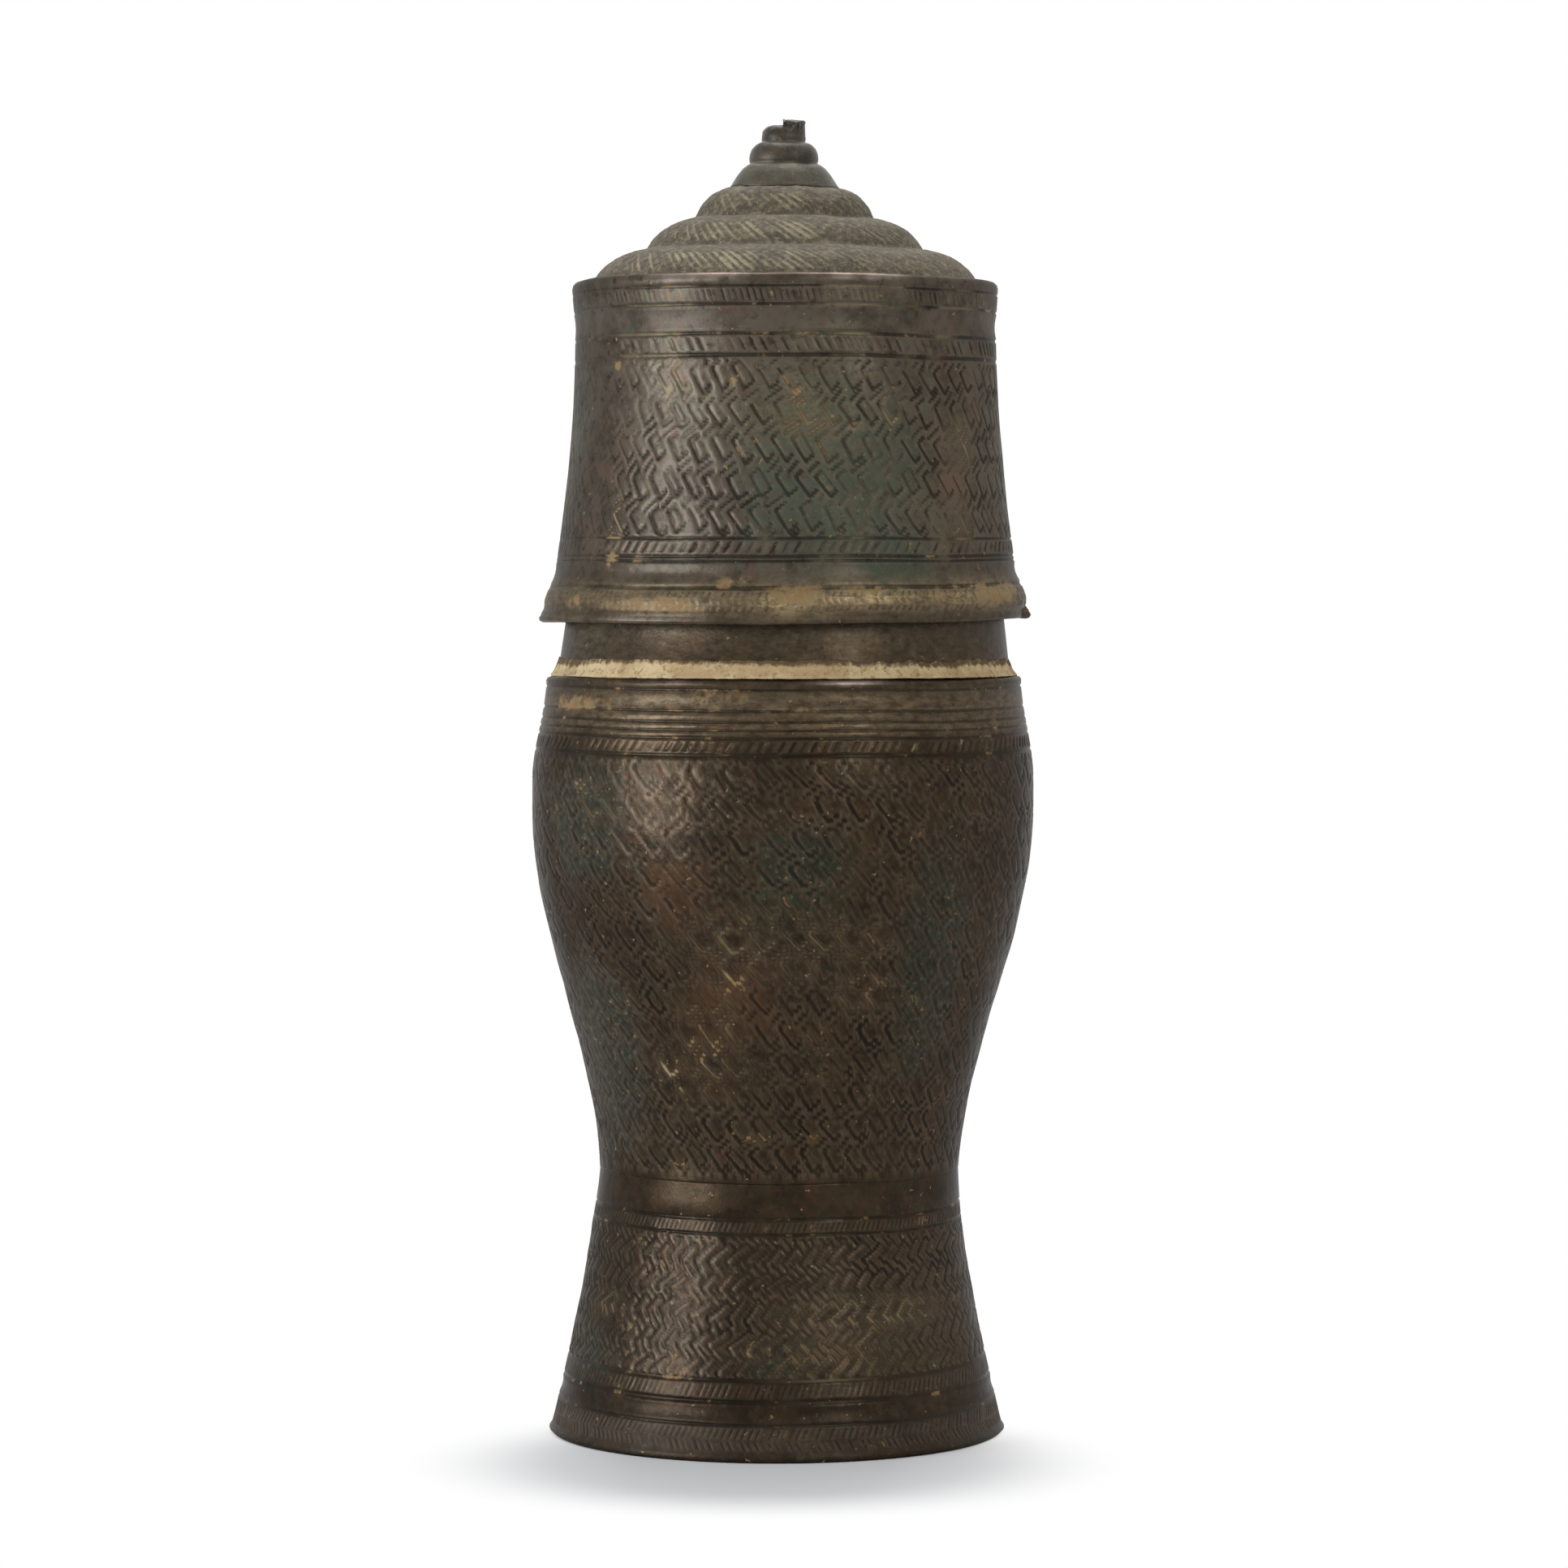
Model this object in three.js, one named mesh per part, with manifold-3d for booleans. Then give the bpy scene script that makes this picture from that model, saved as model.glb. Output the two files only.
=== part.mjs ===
// Bronze lime container: a waisted vessel on a flared foot, closed by a tall lid
// that slips over the vessel's tapered neck.
// Millimetres, +Z up, origin on the ground under the middle of the foot.
import * as THREE from 'three';
import { mergeVertices } from 'three/addons/utils/BufferGeometryUtils.js';
import Module from 'manifold-3d';

// Foot: a flared pedestal that ends in a plain collar round the waist
const FOOT_RADIUS = 28;
const FOOT_HEIGHT = 32.6; // ground to the top of the collar
const FOOT_WALL = 2.2;
const FOOT_FLARE = 1.25; // power of the flare, where 1 is a straight cone
const FOOT_BEAD_HEIGHT = 1.6; // rounded edge that stands on the ground
const FOOT_BEAD_ROLL = 0.2; // how far that edge stands out of the flare
const FOOT_GROOVES = [4.4, 7, 9.6]; // above the ground
const FOOT_COVE = 5.7; // above the ground
const WAIST_RADIUS = 21.9;
const COLLAR_HEIGHT = 4;
const COLLAR_WALL = 1.2; // metal left outside the socket that holds the container

// Floor: a loose disc that closes the container, held between the foot and the container
const FLOOR_THICKNESS = 2;
const FLOOR_CHAMFER = 0.4;
const FLOOR_LEDGE_WIDTH = 2.6; // ledge inside the foot that carries the floor
const FLOOR_LEDGE_THICKNESS = 1.6;

// Container: belly, shoulder ledge and neck in one casting
const BODY_HEIGHT = 60.4; // collar to the shoulder ledge
const BODY_WALL = 2;
const BELLY_RADIUS = 31;
const BELLY_DROP = 14.7; // widest point, below the ledge
const BODY_GROOVES = [4, 6.3, 8.9]; // below the ledge
const WAIST_GROOVE = 1; // above the collar
const SPIGOT_DEPTH = 2.9; // stub that drops into the collar's socket
const SPIGOT_WALL = 1.7;
const LEDGE_WIDTH = 1.35;
const LEDGE_ROUNDING = 0.5;
const NECK_RADIUS = 27.85; // at the ledge
const NECK_HEIGHT = 25.5;
const NECK_TAPER = 0.13; // radius lost for each millimetre of height
const NECK_WALL = 2;
const MOUTH_ROUNDING = 0.4;

// Lime crust: dried lime that fills the corner between the ledge and the neck
const CRUST_HEIGHT = 2.4;
const CRUST_GAP = 0.1;
const CRUST_EDGE = 0.12; // thickness where it dies out on the neck

// Lid sleeve: the lid's wall, with a flared rim below and a lip above
const NECK_SHOWN = 6.5; // bare neck between the ledge and the rim
const SLEEVE_HEIGHT = 41.7;
const SLEEVE_WALL = 1.9;
const SLEEVE_FLARE = 1.75; // power of the flare
const SLEEVE_DRAW_IN = 0.9; // how much narrower the sleeve is at its waist than round the mouth
const SLEEVE_WAIST_DROP = 6.2; // narrowest point, below the lip
const SLEEVE_GROOVES_ABOVE_RIM = [4.4, 7.9, 10.2];
const SLEEVE_GROOVES_BELOW_LIP = [3.8, 7.2, 9.7];
const SLEEVE_COVE_ABOVE_RIM = 6.1;
const SLEEVE_COVE_BELOW_LIP = 5.5;
const RIM_HEIGHT = 3.5;
const RIM_EDGE = 1.2; // thickness of the rim's outer edge
const RIM_FLARE = 1.7;
const LIP_WIDTH = 2.05; // flat ring left round the dome
const LIP_FLARE = 0.3;
const LIP_ROUNDING = 0.8;

// Dome: a stepped cap that drops into a rebate inside the lip
const REBATE_DEPTH = 2;
const DOME_SEAT_WIDTH = 1.6;
const DOME_SEAT_THICKNESS = 1.6;
const DOME_WALL = 2.2;
const DOME_INSET = 0.25; // first tier, inside the skirt
const TIER_WIDTHS = [0.395, 0.36, 0.245]; // shares of the way in to the finial
const TIER_RISES = [4.2, 4, 3.2];
const CROWN_THICKNESS = 2;

// Finial: a cone, a ring and a broken stub, riveted through the crown by its tenon
const FINIAL_RADIUS = 6.8;
const FINIAL_CONE_HEIGHT = 3;
const FINIAL_RING_RADIUS = 4.25;
const FINIAL_RING_HEIGHT = 2.7;
const STUB_RADIUS = 2.75;
const STUB_HEIGHT = 2.1;
const BREAK_RADIUS = 1.15; // torn end of the lost tip, off to one side of the stub
const BREAK_HEIGHT = 0.75; // above the stub
const BREAK_LEAN = 0.12; // radians
const TENON_RADIUS = 2;
const RIVET_RADIUS = 3.4;
const RIVET_HEIGHT = 1;

// Turned mouldings and clearances
const GROOVE_WIDTH = 0.5;
const GROOVE_DEPTH = 0.35;
const COVE_WIDTH = 2;
const COVE_DEPTH = 0.3;
const LID_CLEARANCE = 0.3; // between the lid's bore and the neck
const SEAT_GAP = 0.2; // between pieces that are fixed together
const ROUND_SEGMENTS = 36;
const FINIAL_SEGMENTS = 24;

const { lerp } = THREE.MathUtils;
const smooth = (t) => t * t * (3 - 2 * t);
const steps = (from, to, count) => Array.from({ length: count + 1 }, (_, i) => lerp(from, to, i / count));

const bronze = new THREE.MeshStandardMaterial({ color: 0x3a3028, roughness: 0.45, metalness: 0.85 });
const dustyBronze = new THREE.MeshStandardMaterial({ color: 0x6a6152, roughness: 0.7, metalness: 0.6 });
const darkBronze = new THREE.MeshStandardMaterial({ color: 0x45413a, roughness: 0.5, metalness: 0.8 });
const lime = new THREE.MeshStandardMaterial({ color: 0xa68a5f, roughness: 0.95, metalness: 0 });

// Outlines are lists of [radius, height]. They run up the outside and down the inside.
function turned(outline, segments = ROUND_SEGMENTS) {
  const points = outline.map(([radius, height]) => new THREE.Vector2(radius, height));
  points.push(points[0].clone());
  return new THREE.LatheGeometry(points, segments).rotateX(Math.PI / 2);
}

function piece(name, geometry, material, height = 0) {
  const mesh = new THREE.Mesh(geometry, material);
  mesh.name = name;
  mesh.position.z = height;
  return mesh;
}

const groove = (at) => ({ at, width: GROOVE_WIDTH, depth: GROOVE_DEPTH, facets: 2 });
const cove = (at) => ({ at, width: COVE_WIDTH, depth: COVE_DEPTH, facets: 4 });

// A wall whose radius follows radiusAt, with hollow mouldings sunk into it.
function mouldedWall(radiusAt, bottom, top, count, mouldings) {
  const clear = (z) => mouldings.every((m) => Math.abs(z - m.at) > m.width / 2 + GROOVE_WIDTH / 2);
  const plain = steps(bottom, top, count).filter(clear).map((z) => [radiusAt(z), z]);
  const sunk = mouldings.flatMap((m) =>
    steps(0, 1, m.facets).map((share) => {
      const z = m.at + (share - 0.5) * m.width;
      return [radiusAt(z) - m.depth * Math.sin(Math.PI * share), z];
    }),
  );
  return [...plain, ...sunk].sort((a, b) => a[1] - b[1]);
}

// A quarter round from an outside corner's wall to its top.
function roundedEdge(radius, top, rounding) {
  return steps(0, Math.PI / 2, 3).map((angle) => [
    radius - rounding * (1 - Math.cos(angle)),
    top - rounding * (1 - Math.sin(angle)),
  ]);
}

// Shared shapes
const neckRadius = (height) => NECK_RADIUS - NECK_TAPER * height;
const boreRadius = (height) => neckRadius(NECK_SHOWN + height) + LID_CLEARANCE;
const ledgeRadius = NECK_RADIUS + LEDGE_WIDTH;
const socketRadius = WAIST_RADIUS - COLLAR_WALL;
const socketDepth = SPIGOT_DEPTH + FLOOR_THICKNESS + 2 * SEAT_GAP;

// Foot
function footRadius(height) {
  const collarBottom = FOOT_HEIGHT - COLLAR_HEIGHT;
  const share = Math.max(0, (collarBottom - height) / collarBottom);
  return WAIST_RADIUS + (FOOT_RADIUS - FOOT_BEAD_ROLL - WAIST_RADIUS) * share ** FOOT_FLARE;
}

function footGeometry() {
  const ledgeTop = FOOT_HEIGHT - socketDepth;
  const ledgeBottom = ledgeTop - FLOOR_LEDGE_THICKNESS;
  const ledgeInner = socketRadius - FLOOR_LEDGE_WIDTH;
  const hollowTop = ledgeBottom - FLOOR_LEDGE_WIDTH;
  const mouldings = [...FOOT_GROOVES.map(groove), cove(FOOT_COVE)];
  return turned([
    [footRadius(0) - FOOT_WALL, 0],
    [footRadius(0), 0],
    [FOOT_RADIUS, FOOT_BEAD_HEIGHT / 2],
    ...mouldedWall(footRadius, FOOT_BEAD_HEIGHT, FOOT_HEIGHT - COLLAR_HEIGHT, 8, mouldings),
    [WAIST_RADIUS, FOOT_HEIGHT],
    [socketRadius, FOOT_HEIGHT],
    [socketRadius, ledgeTop],
    [ledgeInner, ledgeTop],
    [ledgeInner, ledgeBottom],
    ...steps(hollowTop, 0, 5).slice(0, -1).map((z) => [footRadius(z) - FOOT_WALL, z]),
  ]);
}

// Floor
function floorGeometry() {
  const radius = socketRadius - SEAT_GAP;
  return turned([
    [0, 0],
    [radius - FLOOR_CHAMFER, 0],
    [radius, FLOOR_CHAMFER],
    [radius, FLOOR_THICKNESS - FLOOR_CHAMFER],
    [radius - FLOOR_CHAMFER, FLOOR_THICKNESS],
    [0, FLOOR_THICKNESS],
  ]);
}

// Container, measured from the top of the collar
function bodyRadius(height) {
  const bellyHeight = BODY_HEIGHT - BELLY_DROP;
  if (height > bellyHeight) {
    return lerp(BELLY_RADIUS, ledgeRadius, smooth((height - bellyHeight) / BELLY_DROP));
  }
  const waistHeight = -COLLAR_HEIGHT / 2;
  return lerp(WAIST_RADIUS, BELLY_RADIUS, smooth((height - waistHeight) / (bellyHeight - waistHeight)));
}

function containerGeometry() {
  const spigotRadius = socketRadius - SEAT_GAP;
  const mouthRadius = neckRadius(NECK_HEIGHT);
  const mouthTop = BODY_HEIGHT + NECK_HEIGHT;
  const mouldings = [groove(WAIST_GROOVE), ...BODY_GROOVES.map((drop) => groove(BODY_HEIGHT - drop))];
  return turned([
    [spigotRadius - SPIGOT_WALL, -SPIGOT_DEPTH],
    [spigotRadius, -SPIGOT_DEPTH],
    [spigotRadius, SEAT_GAP],
    ...mouldedWall(bodyRadius, SEAT_GAP, BODY_HEIGHT - 2 * LEDGE_ROUNDING, 15, mouldings),
    ...roundedEdge(ledgeRadius, BODY_HEIGHT, LEDGE_ROUNDING),
    [NECK_RADIUS, BODY_HEIGHT],
    ...roundedEdge(mouthRadius, mouthTop, MOUTH_ROUNDING),
    [mouthRadius - NECK_WALL, mouthTop],
    [NECK_RADIUS - NECK_WALL, BODY_HEIGHT],
    ...steps(BODY_HEIGHT - LEDGE_WIDTH - BODY_WALL, BODY_WALL, 10).map((z) => [bodyRadius(z) - BODY_WALL, z]),
  ]);
}

// Lime crust, measured from the ledge
function crustGeometry() {
  const outer = ledgeRadius - LEDGE_ROUNDING;
  const top = neckRadius(CRUST_HEIGHT) + CRUST_GAP + CRUST_EDGE;
  const hollow = steps(0, Math.PI / 2, 4).map((angle) => [
    top + (outer - top) * (1 - Math.sin(angle)),
    CRUST_HEIGHT - (CRUST_HEIGHT - CRUST_GAP) * Math.cos(angle),
  ]);
  return turned([
    [neckRadius(CRUST_GAP) + CRUST_GAP, CRUST_GAP],
    ...hollow,
    [neckRadius(CRUST_HEIGHT) + CRUST_GAP, CRUST_HEIGHT],
  ]);
}

// Lid sleeve, measured from the rim
const rimRootRadius = boreRadius(RIM_HEIGHT) + SLEEVE_WALL;
const sleeveWaistRadius = boreRadius(NECK_HEIGHT - NECK_SHOWN) + SLEEVE_WALL - SLEEVE_DRAW_IN;
const sleeveWaistHeight = SLEEVE_HEIGHT - SLEEVE_WAIST_DROP;
const lipRadius = sleeveWaistRadius + LIP_FLARE;
const rebateRadius = lipRadius - LIP_WIDTH;
const domeSeatHeight = SLEEVE_HEIGHT - REBATE_DEPTH;

function sleeveRadius(height) {
  if (height > sleeveWaistHeight) {
    return lerp(sleeveWaistRadius, lipRadius, smooth((height - sleeveWaistHeight) / SLEEVE_WAIST_DROP));
  }
  const share = (sleeveWaistHeight - height) / (sleeveWaistHeight - RIM_HEIGHT);
  return sleeveWaistRadius + (rimRootRadius - sleeveWaistRadius) * share ** SLEEVE_FLARE;
}

function sleeveGeometry() {
  const rimRadius = rimRootRadius + RIM_FLARE;
  const rimFlare = steps(RIM_EDGE, RIM_HEIGHT, 4).slice(0, -1).map((z) => {
    const share = (RIM_HEIGHT - z) / (RIM_HEIGHT - RIM_EDGE);
    return [rimRootRadius + RIM_FLARE * share ** 2, z];
  });
  const mouldings = [
    ...SLEEVE_GROOVES_ABOVE_RIM.map(groove),
    ...SLEEVE_GROOVES_BELOW_LIP.map((drop) => groove(SLEEVE_HEIGHT - drop)),
    cove(SLEEVE_COVE_ABOVE_RIM),
    cove(SLEEVE_HEIGHT - SLEEVE_COVE_BELOW_LIP),
  ];
  const seatRadius = rebateRadius - DOME_SEAT_WIDTH;
  const seatBottom = domeSeatHeight - DOME_SEAT_THICKNESS;
  const boreTop = NECK_HEIGHT - NECK_SHOWN;
  const innerWall = steps(seatBottom - DOME_SEAT_WIDTH, boreTop + SLEEVE_WALL, 4);
  return turned([
    [rimRadius - RIM_EDGE, 0],
    [rimRadius - RIM_EDGE / 3, 0],
    [rimRadius, RIM_EDGE / 3],
    ...rimFlare,
    ...mouldedWall(sleeveRadius, RIM_HEIGHT, SLEEVE_HEIGHT - 2 * LIP_ROUNDING, 12, mouldings),
    ...roundedEdge(lipRadius, SLEEVE_HEIGHT, LIP_ROUNDING),
    [rebateRadius, SLEEVE_HEIGHT],
    [rebateRadius, domeSeatHeight],
    [seatRadius, domeSeatHeight],
    [seatRadius, seatBottom],
    ...innerWall.map((z) => [sleeveRadius(z) - SLEEVE_WALL, z]),
    [boreRadius(boreTop), boreTop],
    [boreRadius(RIM_HEIGHT), RIM_HEIGHT],
  ]);
}

// Dome, measured from the foot of its skirt
const skirtRadius = rebateRadius - SEAT_GAP;
const skirtHeight = REBATE_DEPTH - SEAT_GAP;
const crownHeight = TIER_RISES.reduce((sum, rise) => sum + rise, skirtHeight);

// One tier swells out from its foot and lies nearly flat where the next one stands on it.
function tier(foot, top) {
  const width = foot.x - top.x;
  const rise = top.y - foot.y;
  const swell = new THREE.Vector2(foot.x - 0.27 * width, top.y - 0.12 * rise);
  return new THREE.QuadraticBezierCurve(foot, swell, top).getPoints(5).map((p) => [p.x, p.y]);
}

function domeGeometry() {
  const corners = [new THREE.Vector2(skirtRadius - DOME_INSET, skirtHeight)];
  const wayIn = skirtRadius - DOME_INSET - FINIAL_RADIUS;
  TIER_WIDTHS.forEach((share, i) => {
    const foot = corners[i];
    corners.push(new THREE.Vector2(foot.x - share * wayIn, foot.y + TIER_RISES[i]));
  });
  const holeRadius = TENON_RADIUS + SEAT_GAP;
  const crownBottom = crownHeight - CROWN_THICKNESS;
  return turned([
    [skirtRadius - DOME_WALL, 0],
    [skirtRadius, 0],
    [skirtRadius, skirtHeight],
    ...TIER_WIDTHS.flatMap((_, i) => tier(corners[i], corners[i + 1]).slice(0, -1)),
    [FINIAL_RADIUS, crownHeight],
    [holeRadius, crownHeight],
    [holeRadius, crownBottom],
    [RIVET_RADIUS + DOME_WALL, crownBottom],
    [skirtRadius - DOME_WALL - DOME_INSET, skirtHeight],
  ]);
}

// Finial, measured from the crown
const { Manifold, Mesh: SolidMesh } = await Module().then((wasm) => {
  wasm.setup();
  return wasm;
});

function toSolid(geometry) {
  const bare = new THREE.BufferGeometry();
  bare.setAttribute('position', geometry.getAttribute('position'));
  bare.setIndex(geometry.getIndex());
  const merged = mergeVertices(bare, 1e-4);
  const vertProperties = new Float32Array(merged.getAttribute('position').array);
  return new Manifold(new SolidMesh({ numProp: 3, vertProperties, triVerts: new Uint32Array(merged.index.array) }));
}

function toGeometry(solid) {
  const { vertProperties, triVerts } = solid.getMesh();
  const geometry = new THREE.BufferGeometry();
  geometry.setAttribute('position', new THREE.BufferAttribute(vertProperties, 3));
  geometry.setIndex(new THREE.BufferAttribute(triVerts, 1));
  geometry.computeVertexNormals();
  return geometry;
}

function finialGeometry() {
  const tenonBottom = -CROWN_THICKNESS - 2 * SEAT_GAP;
  const ringBottom = FINIAL_CONE_HEIGHT;
  const ringTop = ringBottom + FINIAL_RING_HEIGHT;
  const stubTop = ringTop + STUB_HEIGHT;
  const coneTopRadius = (FINIAL_RADIUS + 2 * FINIAL_RING_RADIUS) / 3;
  const spindle = turned(
    [
      [0, tenonBottom - RIVET_HEIGHT],
      [RIVET_RADIUS - RIVET_HEIGHT / 2, tenonBottom - RIVET_HEIGHT],
      [RIVET_RADIUS, tenonBottom - RIVET_HEIGHT / 2],
      [RIVET_RADIUS, tenonBottom],
      [TENON_RADIUS, tenonBottom],
      [TENON_RADIUS, 0],
      [FINIAL_RADIUS, 0],
      [coneTopRadius, 0.85 * FINIAL_CONE_HEIGHT],
      [FINIAL_RING_RADIUS, ringBottom],
      [FINIAL_RING_RADIUS, ringBottom + 0.4 * FINIAL_RING_HEIGHT],
      [lerp(FINIAL_RING_RADIUS, STUB_RADIUS, 0.3), ringBottom + 0.7 * FINIAL_RING_HEIGHT],
      [lerp(FINIAL_RING_RADIUS, STUB_RADIUS, 0.7), ringBottom + 0.93 * FINIAL_RING_HEIGHT],
      [STUB_RADIUS, ringTop],
      [STUB_RADIUS, ringTop + 0.4 * STUB_HEIGHT],
      [0.88 * STUB_RADIUS, ringTop + 0.68 * STUB_HEIGHT],
      [0.6 * STUB_RADIUS, ringTop + 0.92 * STUB_HEIGHT],
      [0, stubTop],
    ],
    FINIAL_SEGMENTS,
  );
  const tornLength = BREAK_HEIGHT + STUB_HEIGHT / 2;
  const torn = new THREE.CylinderGeometry(BREAK_RADIUS, BREAK_RADIUS, tornLength, 7)
    .rotateX(Math.PI / 2)
    .rotateY(BREAK_LEAN)
    .translate(STUB_RADIUS - 1.25 * BREAK_RADIUS, 0, stubTop + BREAK_HEIGHT - tornLength / 2);
  return toGeometry(toSolid(spindle).add(toSolid(torn)));
}

// Assembly
const ledgeHeight = FOOT_HEIGHT + BODY_HEIGHT;

const vessel = new THREE.Group();
vessel.add(
  piece('pedestal_foot', footGeometry(), bronze),
  piece('floor_plate', floorGeometry(), darkBronze, FOOT_HEIGHT - socketDepth + SEAT_GAP),
  piece('container_body', containerGeometry(), bronze, FOOT_HEIGHT),
  piece('lime_crust', crustGeometry(), lime, ledgeHeight),
);

const lid = new THREE.Group();
lid.position.z = ledgeHeight + NECK_SHOWN;
lid.add(
  piece('lid_sleeve', sleeveGeometry(), bronze),
  piece('lid_dome', domeGeometry(), dustyBronze, domeSeatHeight + SEAT_GAP),
  piece('finial', finialGeometry(), darkBronze, domeSeatHeight + SEAT_GAP + crownHeight + SEAT_GAP),
);

const limeContainer = new THREE.Group();
limeContainer.add(vessel, lid);
export default limeContainer;
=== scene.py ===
"""A bronze lime container: chased bronze, a dusty stepped dome and dried lime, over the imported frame."""

import math
from dataclasses import dataclass

import bpy
import numpy as np
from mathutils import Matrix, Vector


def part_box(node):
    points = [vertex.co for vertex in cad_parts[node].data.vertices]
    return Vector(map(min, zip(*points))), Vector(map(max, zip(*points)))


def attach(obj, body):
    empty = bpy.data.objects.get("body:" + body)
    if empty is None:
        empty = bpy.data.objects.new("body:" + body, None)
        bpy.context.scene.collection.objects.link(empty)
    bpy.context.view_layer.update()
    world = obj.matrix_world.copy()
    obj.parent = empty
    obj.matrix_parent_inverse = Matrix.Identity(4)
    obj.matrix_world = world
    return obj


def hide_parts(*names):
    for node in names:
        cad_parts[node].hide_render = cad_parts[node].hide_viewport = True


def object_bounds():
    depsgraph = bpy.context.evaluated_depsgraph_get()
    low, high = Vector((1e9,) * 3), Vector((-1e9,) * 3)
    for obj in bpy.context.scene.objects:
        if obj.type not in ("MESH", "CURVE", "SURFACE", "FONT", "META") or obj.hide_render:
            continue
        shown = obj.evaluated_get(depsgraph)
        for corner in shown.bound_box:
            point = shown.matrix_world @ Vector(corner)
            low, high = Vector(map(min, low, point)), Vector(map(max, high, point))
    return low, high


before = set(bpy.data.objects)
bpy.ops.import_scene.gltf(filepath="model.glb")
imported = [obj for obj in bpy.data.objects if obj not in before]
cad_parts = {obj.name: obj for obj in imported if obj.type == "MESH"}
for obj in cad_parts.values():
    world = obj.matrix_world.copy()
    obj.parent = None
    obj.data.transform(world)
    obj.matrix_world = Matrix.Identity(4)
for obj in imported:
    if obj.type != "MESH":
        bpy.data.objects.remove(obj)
cad_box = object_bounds()

# Sizes in millimetres. Heights are above the ground, and the main ones come from the frame. A curve is
# the power by which a wall flares, and a hollow lists heights of the wall inside.
MM = 0.001
_, foot_high = (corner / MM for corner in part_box("pedestal_foot"))
body_low, body_high = (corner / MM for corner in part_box("container_body"))
sleeve_low, sleeve_high = (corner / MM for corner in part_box("lid_sleeve"))
dome_low, dome_high = (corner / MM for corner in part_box("lid_dome"))
finial_low, finial_high = (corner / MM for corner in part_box("finial"))
crust_low, crust_high = (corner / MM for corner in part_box("lime_crust"))
plate_low, plate_high = (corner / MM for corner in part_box("floor_plate"))

# Foot
WAIST_RADIUS = 22.1
FOOT_RADIUS = foot_high.x
FOOT_TOP = foot_high.z
FOOT_WALL = 2.2
FOOT_CURVE = 1.38
FOOT_HOLLOW = (22, 16.5, 11, 5.5, 0)
COLLAR_BOTTOM = FOOT_TOP - 4
SOCKET_RADIUS = plate_high.x + 0.2
SOCKET_BOTTOM = plate_low.z - 0.2
SOCKET_LEDGE_RADIUS = SOCKET_RADIUS - 2.6

# Container
LEDGE_HEIGHT = crust_low.z - 0.1
LEDGE_RADIUS = 29.2
BELLY_RADIUS = body_high.x - 0.06
BELLY_HEIGHT = LEDGE_HEIGHT - 16.2
BELLY_ROOT = FOOT_TOP - 2
BELLY_HOLLOW = (88, 76, 60, 46, 35)
SHOULDER_HEIGHT = LEDGE_HEIGHT - 13
BODY_WALL = 2.0
NECK_RADIUS = 27.85
NECK_TAPER = 0.13
MOUTH_HEIGHT = body_high.z
SPIGOT_BOTTOM = body_low.z
SPIGOT_RADIUS = SOCKET_RADIUS - 0.2
SPIGOT_WALL = 1.7

# Lid
RIM_HEIGHT = sleeve_low.z
RIM_RADIUS = sleeve_high.x - 0.7
RIM_ROOT = RIM_HEIGHT + 3.5
RIM_ROOT_RADIUS = 28.75
RIM_FLARE = 2.0
RIM_CURVE = 1.5
RIM_FLARE_TOP = RIM_HEIGHT + 6.5
RIM_TILT = 0.27
RIM_BEND = 0.4
RIM_SHIFT = -0.55
SLEEVE_TOP = sleeve_high.z
SLEEVE_WALL = 1.9
SLEEVE_CURVE = 1.75
SLEEVE_MIDDLE = 126
SLEEVE_WAIST = SLEEVE_TOP - 6.2
SLEEVE_WAIST_RADIUS = 25.84
LIP_RADIUS = SLEEVE_WAIST_RADIUS + 0.3
LID_CLEARANCE = 0.3
LUMP_REACH = 1.3
LUMP_SHAPE = (1.0, 1.2, 0.8)
LUMP_INSET = 0.6
LUMP_RISE = 1.25
LUMP_SWELL = 1.1
LUMP_SAG = 0.25
REBATE_RADIUS = dome_high.x + 0.2
REBATE_BOTTOM = dome_low.z - 0.2
SEAT_RADIUS = REBATE_RADIUS - 1.6

# Dome and finial. The tiers' widths, bulges and shares and the cord's low and high are shares. The seams,
# the stub's foot and the break are above the finial's foot.
DOME_FOOT_RADIUS = dome_high.x - 0.25
DOME_FOOT = SLEEVE_TOP
DOME_WALL = 2.2
TIER_WIDTHS = (0.39, 0.36, 0.25)
TIER_RISES = (3.9, 3.9, 3.75)
TIER_BULGE_IN = 0.27
TIER_BULGE_DOWN = 0.12
TIER_SHARES = (0.0, 0.05, 0.1, 0.17, 0.25, 0.33, 0.42, 0.51, 0.6, 0.72, 0.86)
CORD_LOW = 0.05
CORD_HIGH = 0.6
CORD_COLUMNS = (4, 6, 10)
FINIAL_RADIUS = finial_high.x
FINIAL_FOOT = dome_high.z + 0.2
TENON_RADIUS = 2.0
RIVET_RADIUS = 3.4
RIVET_TOP = finial_low.z + 1
CONE_SEAM = 2.85
RING_SEAM = 5.6
STUB_FOOT = 6.2
STUB_REACH = 2.68
BREAK_HEIGHT = 7.5
BREAK_RISE = 0.65

# A piece is spun as one sector and copied round. The counts of strokes divide the columns of faces.
SECTORS = 30
BODY_COLUMNS = 600
LID_COLUMNS = 630
FOOT_COLUMNS = 630
DOME_COLUMNS = 480
FINIAL_COLUMNS = 90
CRUST_COLUMNS = 360

# Rings out of true: waves round the piece, with their turns and their sizes in millimetres
RING_WAVES = ((2, 0.6, 0.09), (5, 2, 0.05), (9, 0, 0.03))

# The crust's ragged edge: waves round the neck, with their sizes
RAGGED_WAVES = ((7, 0.4), (17, 0.35), (41, 0.35), (89, 0.3))

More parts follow.
